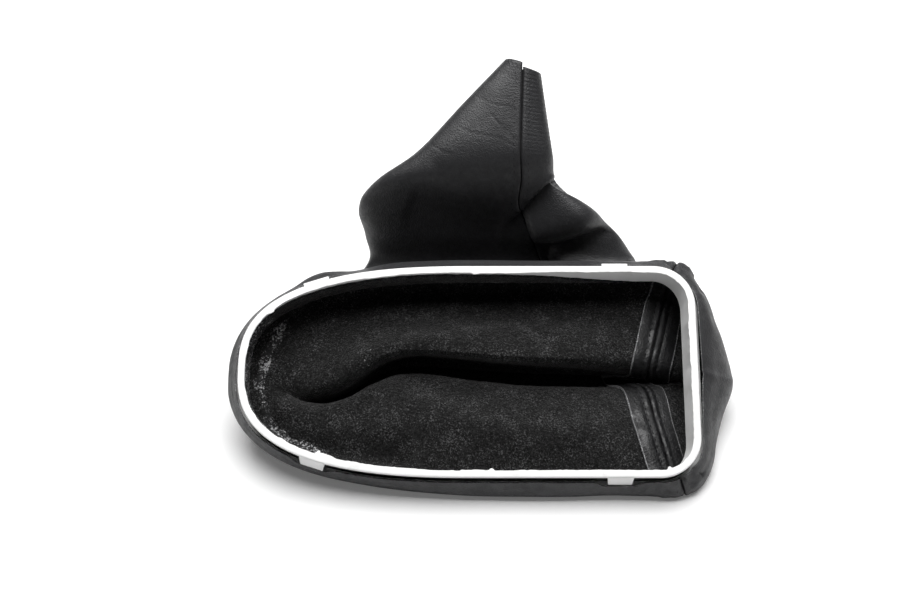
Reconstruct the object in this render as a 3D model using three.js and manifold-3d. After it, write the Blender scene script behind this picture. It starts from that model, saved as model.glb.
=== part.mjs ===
// A gear lever gaiter, lying on a table as it comes out of a car.
// A soft leatherette bag is sewn from two panels. Its wide end is fixed round a white frame that clips
// into the console, and its narrow end is the sleeve that fits the lever under the knob.
// The frame leans back on the collapsed bag, open side up, and the sleeve stands up behind it.
// Millimetres, +Z up, +X towards the frame's square end. The origin is under the middle, on the table.

import * as THREE from 'three';
import Module from 'manifold-3d';
import { mergeVertices } from 'three/addons/utils/BufferGeometryUtils.js';

// Frame outline: a rounded nose at -X, straight sides and a square end at +X
const frameLength = 190;
const frameWidth = 91.5;
const noseLength = 100;
const noseFullness = 2.65;
const cornerRadius = 17;

// Frame section
const frameDepth = 10;
const rimWidth = 3;
const rimLipHeight = 1.8;
const grooveDepth = 1;
const flangeReach = 1.9;
const flangeThickness = 1.8;
const sideDraft = 0.3;
const endDraft = 2.2;
const frameTilt = 25;

// Snap clips on the frame's two long sides
const clipWidth = 11;
const clipTipWidth = 9.8;
const clipProud = 1.2;
const clipBelowRim = 0.4;
const clipHeight = 6.1;
const clipRoot = 1.2;
const clipFromNose = 31.5;
const clipFromEnd = 33.2;

// Leatherette and its seams
const leatherThickness = 1.2;
const allowanceWidth = 8;
const allowanceThickness = 0.9;
const allowanceStep = 0.4;
const allowanceStart = 2.5;
const hemWidth = 10;
const seamGap = 0.3;
const seamFromEnd = 13.4;

// How the leather rolls round the frame: reach outside the outline and drop below the rim
const edgeReach = 0.9;
const edgeDrop = 4;
const wallReach = 2.6;
const wallDrop = 6.6;
const rollReach = 5;
const rollDrop = 10.4;
const rollBackReach = 4.4;
const rollBackDrop = 14.2;
const underReach = 1;
const underDrop = 15.6;
const insideReach = -4;
const insideDrop = 15.8;
const innerEdgeReach = -9;
const innerEdgeDrop = 16;
const clipNotch = 1.3;
const clipNotchBlend = 7;

// The slack skirt at the square end, and the folds that lie across the opening
const skirtBulge = 12;
const skirtDrop = 16;
const skirtSpan = 56;
const skirtRounding = 0.12;
const nearRidgeLift = 4.5;
const farRidgeLift = 3.5;
const farRidgeShift = -1.5;
const ridgePlace = 0.45;
const foldSwayStart = 0.1;
const foldSwayLength = 0.6;

// Flattened loops of the bag. y is back from the frame's middle and z is up from the table.
// lean turns the loop from upright. farGap and nearGap are to its two sheets. noseInset and endReach
// say where it ends, from the nose and past the square end. farSeam and nearSeam are places along it,
// from -1 at its left end to 1. sway moves its left part to the near side.
const foldLip = {
  y: 14, z: 18, lean: 0, farGap: 6.5, nearGap: 6.5, noseInset: 15, endReach: 1,
  farSeam: 0.84, nearSeam: 0.8, fullness: 2.6, sway: -7, droopLeft: 6, droopRight: 9,
};
const foldThroat = {
  y: 15.5, z: 10.8, lean: 20, farGap: 4, nearGap: 3.8, noseInset: 21, endReach: -3,
  farSeam: 0.83, nearSeam: 0.8, fullness: 2.6, sway: -5, droopRight: 2,
};
const foldTurn = {
  y: 20.5, z: 6.6, lean: 55, farGap: 3.4, nearGap: 3.6, noseInset: 24, endReach: -7,
  farSeam: 0.79, nearSeam: 0.79, fullness: 2.6, sway: -3,
};
const underFront = {
  y: 39, z: 4.8, lean: 88, farGap: 2.9, nearGap: 3.2, noseInset: 29, endReach: -11,
  farSeam: 0.66, nearSeam: 0.74,
};
const underBack = {
  y: 63, z: 7, lean: 100, farGap: 6, nearGap: 5, noseInset: 35, endReach: -15,
  farSeam: 0.5, nearSeam: 0.68,
};

// Sections of the sleeve, square to a line that leans back by sleeveLean. rise is along that line and
// front and back are across it, from the frame's middle.
const sleeveLean = 45;
const sleeveFoot = {
  rise: 47, front: -58, back: -91, noseInset: 51, endReach: -22, farSeam: 0.34, nearSeam: 0.6,
};
const sleeveAnkle = {
  rise: 58, front: -50, back: -86, noseInset: 49.5, endReach: -32, farSeam: 0.37, nearSeam: 0.58,
};
const sleeveBulge = {
  rise: 70, front: -42, back: -77, noseInset: 47.5, endReach: -41, farSeam: 0.43, nearSeam: 0.56,
};
const sleeveCrease = {
  rise: 81, front: -37, back: -70, noseInset: 54, endReach: -56, farSeam: 0.55, nearSeam: 0.54,
};
const sleeveWaist = {
  rise: 92, front: -34.5, back: -66, noseInset: 66.5, endReach: -59.5, farSeam: 0.6, nearSeam: 0.5,
  slope: -1,
};
const sleeveNeck = {
  rise: 112, front: -33, back: -61, noseInset: 88, endReach: -63, farSeam: 0.44, nearSeam: 0.35,
  slope: -2,
};
const sleeveMouth = {
  rise: 132.4, front: -33, back: -60, noseInset: 111.2, endReach: -64.4, farSeam: -0.09,
  nearSeam: -0.1, slope: -2.2, tip: 1,
};
const plainFullness = 2.4;

// Fineness of the meshes
const frameColumns = 72;
const mainColumns = 36;
const rearColumns = 8;
const rowSpacing = 10;
const foldRows = 2;
const tableSoftness = 0.3;
const outlineSteps = 90;

// Sizes that follow from the ones above
const rad = THREE.MathUtils.degToRad;
const smooth = THREE.MathUtils.smoothstep;
const lerp = THREE.MathUtils.lerp;
const halfLeather = leatherThickness / 2;
const tilt = rad(frameTilt);
const noseX = -frameLength / 2;
const endX = frameLength / 2;
const rimHeight = (frameWidth / 2 + rollBackReach) * Math.sin(tilt)
  + rollBackDrop * Math.cos(tilt) + halfLeather;
const wasm = await Module();
wasm.setup();

// The near half of the frame's outline, from the nose's tip to the middle of the square end
function outlinePoints() {
  const points = [];
  const halfWidth = frameWidth / 2;
  const noseCentre = noseX + noseLength;
  for (let i = 0; i < outlineSteps * 2; i++) {
    const a = Math.PI / 2 * i / (outlineSteps * 2);
    points.push(new THREE.Vector2(
      noseCentre - noseLength * Math.cos(a) ** (2 / noseFullness),
      -halfWidth * Math.sin(a) ** (2 / noseFullness)));
  }
  const cornerX = endX - cornerRadius;
  const cornerY = cornerRadius - halfWidth;
  points.push(new THREE.Vector2(noseCentre, -halfWidth));
  for (let i = 0; i <= outlineSteps; i++) {
    const a = Math.PI / 2 * i / outlineSteps;
    points.push(new THREE.Vector2(
      cornerX + cornerRadius * Math.sin(a), cornerY - cornerRadius * Math.cos(a)));
  }
  points.push(new THREE.Vector2(endX, 0));
  return points;
}

const halfOutline = outlinePoints();
const halfLengths = [0];
for (let i = 1; i < halfOutline.length; i++) {
  halfLengths.push(halfLengths[i - 1] + halfOutline[i].distanceTo(halfOutline[i - 1]));
}
const halfPerimeter = halfLengths.at(-1);

// The half outline at a distance from the nose's tip, mirrored past either end
function alongHalf(distance) {
  let flip = distance < 0 ? -1 : 1;
  let d = Math.abs(distance);
  if (d > halfPerimeter) {
    d = 2 * halfPerimeter - d;
    flip = -1;
  }
  let i = halfLengths.findIndex((length) => length >= d);
  i = Math.max(1, i);
  const t = (d - halfLengths[i - 1]) / (halfLengths[i] - halfLengths[i - 1]);
  const p = halfOutline[i - 1].clone().lerp(halfOutline[i], t);
  return new THREE.Vector2(p.x, p.y * flip);
}

// A place round the frame: turn 0 is the nose, 0.5 the middle of the square end, the near side first
function outlineAt(turn) {
  const t = turn - Math.floor(turn);
  const isNear = t <= 0.5;
  const distance = (isNear ? t : 1 - t) * 2 * halfPerimeter;
  const p = alongHalf(distance);
  const step = halfPerimeter / 250;
  const along = alongHalf(distance + step).sub(alongHalf(distance - step)).normalize();
  const side = isNear ? 1 : -1;
  return { x: p.x, y: p.y * side, nx: along.y, ny: -along.x * side };
}

// The turn at which the near side passes a given x
function turnAtX(x) {
  const i = halfOutline.findIndex((p) => p.x >= x);
  const t = (x - halfOutline[i - 1].x) / (halfOutline[i].x - halfOutline[i - 1].x);
  return lerp(halfLengths[i - 1], halfLengths[i], t) / (2 * halfPerimeter);
}

const seamTurn = (turnAtX(endX - cornerRadius) * 2 * halfPerimeter + cornerRadius - seamFromEnd)
  / (2 * halfPerimeter);
const clipTurns = [noseX + clipFromNose, endX - clipFromEnd].map(turnAtX);

// A point of the tilted frame's own space, in the table's space
function fromFrame(x, y, z) {
  return new THREE.Vector3(
    x, y * Math.cos(tilt) - z * Math.sin(tilt), rimHeight + y * Math.sin(tilt) + z * Math.cos(tilt));
}

// Keeps the leather's middle half a thickness above the table
function aboveTable(p) {
  const over = p.z - halfLeather;
  p.z = halfLeather + (over + Math.hypot(over, tableSoftness)) / 2;
  return p;
}

// One for the middle of the square end, falling to zero at the skirt's span on either side
function skirtShare(turn) {
  const away = Math.abs(turn - Math.floor(turn) - 0.5) * 2 * halfPerimeter / skirtSpan;
  const fall = (Math.hypot(away, skirtRounding) - skirtRounding)
    / (Math.hypot(1, skirtRounding) - skirtRounding);
  return Math.max(0, 1 - fall);
}

// A loop of leather that follows the frame's outline
function rimLoop(turn, reach, drop, bulgeShare, dropShare) {
  const o = outlineAt(turn);
  const skirt = skirtShare(turn);
  const out = reach + bulgeShare * skirtBulge * skirt;
  return fromFrame(o.x + o.nx * out, o.y + o.ny * out, -drop - dropShare * skirtDrop * skirt);
}

// A loop pressed flat: its point at a turn. The seams keep their places along it.
function flatLoop(turn, fold) {
  const t = turn - Math.floor(turn);
  const isNear = t <= 0.5;
  const along = (isNear ? t : 1 - t) * 2;
  const seamPart = Math.acos(-(isNear ? fold.nearSeam : fold.farSeam)) / Math.PI;
  const seamAlong = seamTurn * 2;
  const part = along <= seamAlong
    ? along / seamAlong * seamPart
    : seamPart + (along - seamAlong) / (1 - seamAlong) * (1 - seamPart);
  const place = -Math.cos(Math.PI * part);
  const open = Math.sin(Math.PI * part) ** (2 / (fold.fullness ?? plainFullness));
  const left = noseX + fold.noseInset;
  const right = endX + fold.endReach;
  const swayPart = smooth(-place, foldSwayStart, foldSwayStart + foldSwayLength);
  const across = (isNear ? -fold.nearGap * open : fold.farGap * open) + (fold.sway ?? 0) * swayPart;
  const droop = place < 0 ? fold.droopLeft ?? 0 : fold.droopRight ?? 0;
  const down = (fold.slope ?? 0) * place + droop * place * place
    + (fold.tip ?? 0) * (isNear ? open : -open);
  const lean = rad(fold.lean);
  return new THREE.Vector3(
    (left + right) / 2 + (right - left) / 2 * place,
    fold.y + Math.cos(lean) * across + Math.sin(lean) * down,
    fold.z + Math.sin(lean) * across - Math.cos(lean) * down);
}

// A sleeve section as a flattened loop
function sleeveLoop(turn, section) {
  const a = rad(sleeveLean);
  const middle = (section.front + section.back) / 2;
  const gap = (section.front - section.back) / 2;
  return flatLoop(turn, {
    ...section,
    y: section.rise * Math.sin(a) - middle * Math.cos(a),
    z: rimHeight + section.rise * Math.cos(a) + middle * Math.sin(a),
    lean: 90 + sleeveLean,
    farGap: gap,
    nearGap: gap,
  });
}

// The two lobes rise as ridges between the frame's inner edge and the lip of the fold
function ridgeLoop(turn) {
  const p = rimLoop(turn, innerEdgeReach, innerEdgeDrop, 0.7, 1).lerp(flatLoop(turn, foldLip), ridgePlace);
  const isFar = turn - Math.floor(turn) > 0.5;
  const side = Math.abs(Math.sin(2 * Math.PI * turn)) ** 0.7;
  p.z += (isFar ? farRidgeLift : nearRidgeLift) * side;
  p.y += (isFar ? farRidgeShift : 0) * side;
  return p;
}

// Every loop of the bag at one turn, from the cut edge on the frame to the sleeve's mouth
function loopsAt(turn) {
  return [
    rimLoop(turn, edgeReach, edgeDrop, 0.08, 0),
    rimLoop(turn, wallReach, wallDrop, 0.4, 0.15),
    rimLoop(turn, rollReach, rollDrop, 0.75, 0.44),
    rimLoop(turn, rollBackReach, rollBackDrop, 1, 0.62),
    rimLoop(turn, underReach, underDrop, 1, 0.88),
    rimLoop(turn, insideReach, insideDrop, 0.75, 1),
    ridgeLoop(turn),
    flatLoop(turn, foldLip),
    flatLoop(turn, foldThroat),
    flatLoop(turn, foldTurn),
    flatLoop(turn, underFront),
    flatLoop(turn, underBack),
    sleeveLoop(turn, sleeveFoot),
    sleeveLoop(turn, sleeveAnkle),
    sleeveLoop(turn, sleeveBulge),
    sleeveLoop(turn, sleeveCrease),
    sleeveLoop(turn, sleeveWaist),
    sleeveLoop(turn, sleeveNeck),
    sleeveLoop(turn, sleeveMouth),
  ].map(aboveTable);
}

const firstFold = 6;
const lastFold = 10;

// The mean length of leather from each loop to the next, and the spline's knots from them
const sampleTurns = Array.from({ length: 60 }, (_, i) => (i + 0.5) / 60);
const sampleLoops = sampleTurns.map(loopsAt);
const loopCount = sampleLoops[0].length;
const bandLengths = [];
for (let k = 1; k < loopCount; k++) {
  const total = sampleLoops.reduce((sum, loops) => sum + loops[k].distanceTo(loops[k - 1]), 0);
  bandLengths.push(total / sampleLoops.length);
}
const knots = [0];
for (const length of bandLengths) knots.push(knots.at(-1) + Math.sqrt(length));

// The slope of the spline at one loop
function slopeAt(loops, k) {
  if (k === 0 || k === loopCount - 1) {
    const a = Math.min(k, loopCount - 2);
    return loops[a + 1].clone().sub(loops[a]).divideScalar(knots[a + 1] - knots[a]);
  }
  const before = knots[k] - knots[k - 1];
  const after = knots[k + 1] - knots[k];
  const back = loops[k].clone().sub(loops[k - 1]).multiplyScalar(after / before);
  const forward = loops[k + 1].clone().sub(loops[k]).multiplyScalar(before / after);
  return back.add(forward).divideScalar(before + after);
}

// The middle of the leather on one turn's loops, at a level from 0 at the cut edge
function leatherPoint(loops, level) {
  const k = Math.min(Math.floor(level), loopCount - 2);
  const t = level - k;
  const h = knots[k + 1] - knots[k];
  return new THREE.Vector3()
    .addScaledVector(loops[k], 2 * t ** 3 - 3 * t ** 2 + 1)
    .addScaledVector(slopeAt(loops, k), (t ** 3 - 2 * t ** 2 + t) * h)
    .addScaledVector(loops[k + 1], 3 * t ** 2 - 2 * t ** 3)
    .addScaledVector(slopeAt(loops, k + 1), (t ** 3 - t ** 2) * h);
}

// The cut edge dips under each clip: how far the dip applies at a turn
function notchShare(turn) {
  const t = Math.abs(turn);
  return Math.max(...clipTurns.map((clip) => {
    const away = Math.abs(t - clip) * 2 * halfPerimeter - clipWidth / 2 - 1;
    return 1 - smooth(away, 0, clipNotchBlend);
  }));
}

// A leather point, its outward normal and the direction square to the seam's run
function leatherAt(turn, level) {
  const dipped = level < 2 ? level + clipNotch * notchShare(turn) * (1 - level / 2) : level;
  const step = 0.002;
  const loops = loopsAt(turn);
  const lower = Math.max(0, dipped - step * 5);
  const upper = Math.min(loopCount - 1, dipped + step * 5);
  const down = leatherPoint(loops, upper).sub(leatherPoint(loops, lower));
  const round = leatherPoint(loopsAt(turn + step), dipped).sub(leatherPoint(loopsAt(turn - step), dipped));
  const normal = new THREE.Vector3().crossVectors(down, round).normalize();
  const across = new THREE.Vector3().crossVectors(normal, down).normalize();
  return { point: leatherPoint(loops, dipped), normal, across };
}

// The levels of the mesh rows, closer together in the folds, with a step where the hem starts
function rowLevels() {
  const levels = [];
  bandLengths.forEach((length, k) => {
    const inFold = k >= firstFold && k < lastFold;
    const rows = Math.max(inFold ? foldRows : 1, Math.ceil(length / rowSpacing));
    for (let i = 0; i < rows; i++) levels.push({ level: k + i / rows, hem: 0 });
  });
  const last = loopCount - 1;
  const hemTop = last - hemWidth / bandLengths.at(-1);
  const kept = levels.filter((row) => row.level < hemTop - 0.1);
  return [
    ...kept,
    { level: hemTop - allowanceStep / bandLengths.at(-1), hem: 0 },
    { level: hemTop, hem: 1 },
    { level: last, hem: 1 },
  ];
}

// The columns of a panel across one row, with a step where each seam allowance ends
function rowColumns(fromTurn, toTurn, shares, level) {
  const reach = (turn, side) => {
    const step = 0.002 * side;
    const loops = loopsAt(turn);
    const next = loopsAt(turn + step);
    const speed = leatherPoint(next, level).distanceTo(leatherPoint(loops, level)) / Math.abs(step);
    return { width: side * allowanceWidth / speed, step: side * allowanceStep / speed };
  };
  const start = reach(fromTurn, 1);
  const end = reach(toTurn, -1);
  const first = fromTurn + start.width + start.step;
  const final = toTurn + end.width + end.step;
  return [
    { turn: fromTurn, thick: 1 },
    { turn: fromTurn + start.width / 2, thick: 1 },
    { turn: fromTurn + start.width, thick: 1 },
    ...shares.map((share) => ({ turn: lerp(first, final, share), thick: 0 })),
    { turn: toTurn + end.width, thick: 1 },
    { turn: toTurn + end.width / 2, thick: 1 },
    { turn: toTurn, thick: 1 },
  ];
}

// Even shares of a panel's width, with more columns where the cut edge dips round a clip
function mainShares() {
  const shares = Array.from({ length: mainColumns + 1 }, (_, i) => i / mainColumns);
  const flat = clipWidth / 2 + 1;
  for (const clip of clipTurns) {
    for (const side of [-1, 1]) {
      for (const away of [-flat - clipNotchBlend, -flat, flat, flat + clipNotchBlend]) {
        const turn = side * (clip + away / (2 * halfPerimeter));
        shares.push((turn / seamTurn + 1) / 2);
      }
    }
  }
  shares.sort((a, b) => a - b);
  const closest = 0.35 / mainColumns;
  return shares.filter((share, i) => i === 0 || share - shares[i - 1] > closest);
}

// A closed geometry from two grids of points, the leather's face and its felt side
function shellGeometry(faceGrid, feltGrid) {
  const rows = faceGrid.length;
  const columns = faceGrid[0].length;
  const positions = [...faceGrid.flat(), ...feltGrid.flat()].flatMap((p) => [p.x, p.y, p.z]);
  const felt = rows * columns;
  const at = (i, j) => i * columns + j;
  const index = [];
  const quad = (a, b, c, d) => index.push(a, b, c, a, c, d);
  for (let i = 0; i < rows - 1; i++) {
    for (let j = 0; j < columns - 1; j++) {
      quad(at(i, j), at(i + 1, j), at(i + 1, j + 1), at(i, j + 1));
      quad(felt + at(i, j), felt + at(i, j + 1), felt + at(i + 1, j + 1), felt + at(i + 1, j));
    }
  }
  for (let i = 0; i < rows - 1; i++) {
    quad(at(i, 0), felt + at(i, 0), felt + at(i + 1, 0), at(i + 1, 0));
    const j = columns - 1;
    quad(at(i, j), at(i + 1, j), felt + at(i + 1, j), felt + at(i, j));
  }
  for (let j = 0; j < columns - 1; j++) {
    quad(at(0, j), at(0, j + 1), felt + at(0, j + 1), felt + at(0, j));
    const i = rows - 1;
    quad(at(i, j), felt + at(i, j), felt + at(i, j + 1), at(i, j + 1));
  }
  const geometry = new THREE.BufferGeometry();
  geometry.setAttribute('position', new THREE.Float32BufferAttribute(positions, 3));
  geometry.setIndex(index);
  geometry.computeVertexNormals();
  return geometry;
}

// Pulls the ends of a row back by half the seam's gap
function trimRow(row) {
  const pull = (end, next) => {
    const side = Math.sign(next.point.clone().sub(end.point).dot(end.across));
    return { ...end, point: end.point.clone().addScaledVector(end.across, side * seamGap / 2) };
  };
  return [pull(row[0], row[1]), ...row.slice(1, -1), pull(row.at(-1), row.at(-2))];
}

// One panel of leatherette between two turns, with its folded seam allowances and its hem
function panelGeometry(fromTurn, toTurn, shares) {
  const faceGrid = [];
  const feltGrid = [];
  for (const { level, hem } of rowLevels()) {
    const columns = rowColumns(fromTurn, toTurn, shares, level);
    const row = trimRow(columns.map(({ turn, thick }) => ({ ...leatherAt(turn, level), thick })));
    faceGrid.push(row.map((p) => p.point.clone().addScaledVector(p.normal, halfLeather)));
    feltGrid.push(row.map((p) => {
      const folded = p.thick * smooth(level, allowanceStart, allowanceStart + 1);
      const inward = halfLeather + Math.max(folded, hem) * allowanceThickness;
      return p.point.clone().addScaledVector(p.normal, -inward);
    }));
  }
  return shellGeometry(faceGrid, feltGrid);
}

// The frame's section: reach outside the outline and height under the rim's face
function frameSection(endShare) {
  const draft = lerp(sideDraft, endDraft, endShare);
  return [
    [0, 0],
    [0, -rimLipHeight],
    [-grooveDepth, -rimLipHeight],
    [-grooveDepth, flangeThickness - frameDepth],
    [flangeReach, flangeThickness - frameDepth],
    [flangeReach, -frameDepth],
    [-rimWidth - draft, -frameDepth],
    [-rimWidth, 0],
  ];
}

// The frame's ring, swept round the outline
function ringGeometry() {
  const positions = [];
  const index = [];
  const corners = frameSection(0).length;
  for (let j = 0; j < frameColumns; j++) {
    const o = outlineAt(j / frameColumns);
    for (const [reach, z] of frameSection(Math.max(0, o.nx) ** 2 * (o.x > 0 ? 1 : 0))) {
      positions.push(o.x + o.nx * reach, o.y + o.ny * reach, z);
    }
    for (let i = 0; i < corners; i++) {
      const next = (i + 1) % corners;
      const a = j * corners + i;
      const b = j * corners + next;
      const c = ((j + 1) % frameColumns) * corners + next;
      const d = ((j + 1) % frameColumns) * corners + i;
      index.push(a, b, c, a, c, d);
    }
  }
  const geometry = new THREE.BufferGeometry();
  geometry.setAttribute('position', new THREE.Float32BufferAttribute(positions, 3));
  geometry.setIndex(index);
  return geometry;
}

// One snap clip: a tapered tab that stands proud of the frame's outer wall
function clipGeometry(turn) {
  const o = outlineAt(turn);
  const back = -grooveDepth - clipRoot;
  const tab = new THREE.Shape([
    new THREE.Vector2(-clipWidth / 2, 0),
    new THREE.Vector2(clipWidth / 2, 0),
    new THREE.Vector2(clipTipWidth / 2, -clipHeight),
    new THREE.Vector2(-clipTipWidth / 2, -clipHeight),
  ]);
  const geometry = new THREE.ExtrudeGeometry(tab, { depth: clipProud - back, bevelEnabled: false });
  geometry.rotateX(Math.PI / 2);
  geometry.rotateZ(Math.atan2(o.ny, o.nx) - Math.PI / 2);
  geometry.translate(o.x + o.nx * clipProud, o.y + o.ny * clipProud, -clipBelowRim);
  return geometry;
}

function toSolid(geometry) {
  const bare = geometry.clone();
  bare.deleteAttribute('normal');
  bare.deleteAttribute('uv');
  const merged = mergeVertices(bare, 1e-4);
  return new wasm.Manifold(new wasm.Mesh({
    numProp: 3,
    vertProperties: new Float32Array(merged.attributes.position.array),
    triVerts: new Uint32Array(merged.index.array),
  }));
}

function toGeometry(solid) {
  const mesh = solid.getMesh();
  const geometry = new THREE.BufferGeometry();
  geometry.setAttribute('position', new THREE.BufferAttribute(new Float32Array(mesh.vertProperties), 3));
  geometry.setIndex(new THREE.BufferAttribute(new Uint32Array(mesh.triVerts), 1));
  return geometry;
}

// The frame and its four clips are one moulding
function frameGeometry() {
  let solid = toSolid(ringGeometry());
  for (const turn of clipTurns) {
    for (const side of [turn, 1 - turn]) solid = solid.add(toSolid(clipGeometry(side)));
  }
  return toGeometry(solid);
}

const whitePlastic = new THREE.MeshStandardMaterial({ color: 0xf2f1ee, roughness: 0.45 });
const mainLeather = new THREE.MeshStandardMaterial({ color: 0x2b2b2d, roughness: 0.55 });
const rearLeather = new THREE.MeshStandardMaterial({ color: 0x313134, roughness: 0.55 });

function namedMesh(name, geometry, material) {
  const mesh = new THREE.Mesh(geometry, material);
  mesh.name = name;
  return mesh;
}

const frameMesh = namedMesh('clip_frame', frameGeometry(), whitePlastic);
frameMesh.position.z = rimHeight;
frameMesh.rotation.x = tilt;

const rearShares = Array.from({ length: rearColumns + 1 }, (_, i) => i / rearColumns);
const gaiter = new THREE.Group();
gaiter.name = 'gear_lever_gaiter';
gaiter.add(
  frameMesh,
  namedMesh('main_panel', panelGeometry(-seamTurn, seamTurn, mainShares()), mainLeather),
  namedMesh('rear_panel', panelGeometry(seamTurn, 1 - seamTurn, rearShares), rearLeather),
);

// The origin goes under the middle of the whole part, on the table
gaiter.updateMatrixWorld(true);
const bounds = new THREE.Box3().setFromObject(gaiter, true);
gaiter.position.set(
  -(bounds.min.x + bounds.max.x) / 2, -(bounds.min.y + bounds.max.y) / 2, -bounds.min.z);

export default gaiter;
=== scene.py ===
import math

import bmesh
import bpy
import numpy as np
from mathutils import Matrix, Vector


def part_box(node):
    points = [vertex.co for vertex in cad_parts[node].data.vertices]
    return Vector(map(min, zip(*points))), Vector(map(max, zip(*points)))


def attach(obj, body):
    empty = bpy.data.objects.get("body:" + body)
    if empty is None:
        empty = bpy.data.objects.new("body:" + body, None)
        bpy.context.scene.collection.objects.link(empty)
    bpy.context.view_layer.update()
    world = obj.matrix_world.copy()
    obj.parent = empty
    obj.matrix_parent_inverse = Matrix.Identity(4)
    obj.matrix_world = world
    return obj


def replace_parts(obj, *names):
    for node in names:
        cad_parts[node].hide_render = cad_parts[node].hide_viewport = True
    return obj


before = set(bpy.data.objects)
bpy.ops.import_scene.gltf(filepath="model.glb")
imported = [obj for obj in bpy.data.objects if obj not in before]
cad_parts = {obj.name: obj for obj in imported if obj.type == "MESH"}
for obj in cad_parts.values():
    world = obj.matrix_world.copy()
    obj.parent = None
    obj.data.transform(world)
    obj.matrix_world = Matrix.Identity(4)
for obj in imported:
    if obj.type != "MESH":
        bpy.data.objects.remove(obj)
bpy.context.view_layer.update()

rng = np.random.default_rng(7)
mm = 0.001
print("frame loaded", sorted(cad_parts))

# The white frame and its clips, in millimetres, in the same sizes as the solid's
frameSize = {
    "length": 190, "width": 91.5, "noseLength": 100, "noseFullness": 2.65, "corner": 17,
    "depth": 10, "rim": 3, "lip": 1.8, "groove": 1, "flange": 1.9, "flangeThick": 1.8,
    "sideDraft": 0.3, "endDraft": 2.2, "tilt": 25,
}
clipSize = {
    "width": 11, "tip": 9.8, "proud": 1.2, "below": 0.4, "height": 6.1, "root": 1.2, "footReach": 0.5,
    "nearCrown": 0.15, "bevel": 0.28, "fromNose": 31.5, "fromEnd": 33.2,
}
tilt = math.radians(frameSize["tilt"])
halfLength = frameSize["length"] / 2
halfWidth = frameSize["width"] / 2


# The length of the way along a row of points, at each point
def runLengths(points):
    return np.r_[0, np.cumsum(np.linalg.norm(np.diff(points, axis=0), axis=1))]


def unit(vectors):
    return vectors / np.linalg.norm(vectors, axis=-1, keepdims=True)


# Half of the frame's outline, from the nose's tip along the near side to the middle of the square end
def outlineTable(steps=900):
    s = frameSize
    a = np.pi / 2 * np.arange(steps) / steps
    nose = np.stack([-halfLength + s["noseLength"] * (1 - np.cos(a) ** (2 / s["noseFullness"])),
                     -halfWidth * np.sin(a) ** (2 / s["noseFullness"])], -1)
    b = np.linspace(0, np.pi / 2, steps // 4)
    corner = np.stack([halfLength - s["corner"] + s["corner"] * np.sin(b),
                       s["corner"] - halfWidth - s["corner"] * np.cos(b)], -1)
    points = np.concatenate([nose, [[s["noseLength"] - halfLength, -halfWidth]], corner, [[halfLength, 0]]])
    return points, runLengths(points)


outlinePoints, outlineLengths = outlineTable()
halfPerimeter = outlineLengths[-1]
perimeter = 2 * halfPerimeter


def alongHalf(distance):
    flip = np.where((distance < 0) | (distance > halfPerimeter), -1.0, 1.0)
    d = np.abs(distance)
    d = np.where(d > halfPerimeter, perimeter - d, d)
    x = np.interp(d, outlineLengths, outlinePoints[:, 0])
    return x, np.interp(d, outlineLengths, outlinePoints[:, 1]) * flip


# turn 0 is the nose, 0.5 the middle of the square end, the near side first
def outlineAt(turn):
    t = np.mod(turn, 1.0)
    side = np.where(t <= 0.5, 1.0, -1.0)
    distance = np.where(t <= 0.5, t, 1 - t) * perimeter
    x, y = alongHalf(distance)
    step = halfPerimeter / 250
    ax, ay = alongHalf(distance + step)
    bx, by = alongHalf(distance - step)
    size = np.hypot(ax - bx, ay - by)
    return x, y * side, (ay - by) / size, -(ax - bx) / size * side


def turnAtX(x):
    return float(np.interp(x, outlinePoints[:, 0], outlineLengths)) / perimeter


clipTurns = [turnAtX(-halfLength + clipSize["fromNose"]), turnAtX(halfLength - clipSize["fromEnd"])]

# The leather bag. Reaches are outside the frame's outline and drops are below its rim.
leather = {"thick": 1.2, "allowanceThick": 0.9, "hem": 10, "seamGap": 0.4, "seamFromEnd": 9, "skive": 0.6}
rimLoops = [  # reach, drop, share of the skirt's bulge, share of its drop, share of the trim
    (1.1, 4.6, 0.08, 0, 0.1), (2.6, 6.8, 0.4, 0.15, 0.35), (5, 10.4, 0.75, 0.44, 0.9),
    (4.4, 14.2, 1, 0.62, 1), (1, 15.6, 1, 0.88, 0.9), (-4, 15.8, 0.75, 1, 0.5),
]
# Where the leather hugs the frame or stands off it: distance from the middle of the square end, the
# near side negative, and extra reach
rimTrim = [
    (-245, -0.6), (-225, -2.6), (-205, -3.2), (-180, -3), (-160, -2.4), (-130, -1), (-100, -0.6),
    (-66, -1), (-58, -0.8), (-51, -0.4), (-44, -0.2), (-38, -1.8), (-30, -3.3), (-20, -3.2), (-12, -2.2),
    (-5, -0.4), (0, 0.8), (5, 0.9), (12, 0.6), (20, 0), (28, -1.2), (37, -1), (44, 1.8), (50, 1.8),
    (58, 0.8), (70, 0.8), (150, 1), (168, 0.8), (176, -0.2), (182, -0.4), (188, 0.9), (194, 2.1),
    (200, 1.5), (206, -0.3), (215, -1.2), (230, -1.3), (245, -0.6),
]
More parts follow.
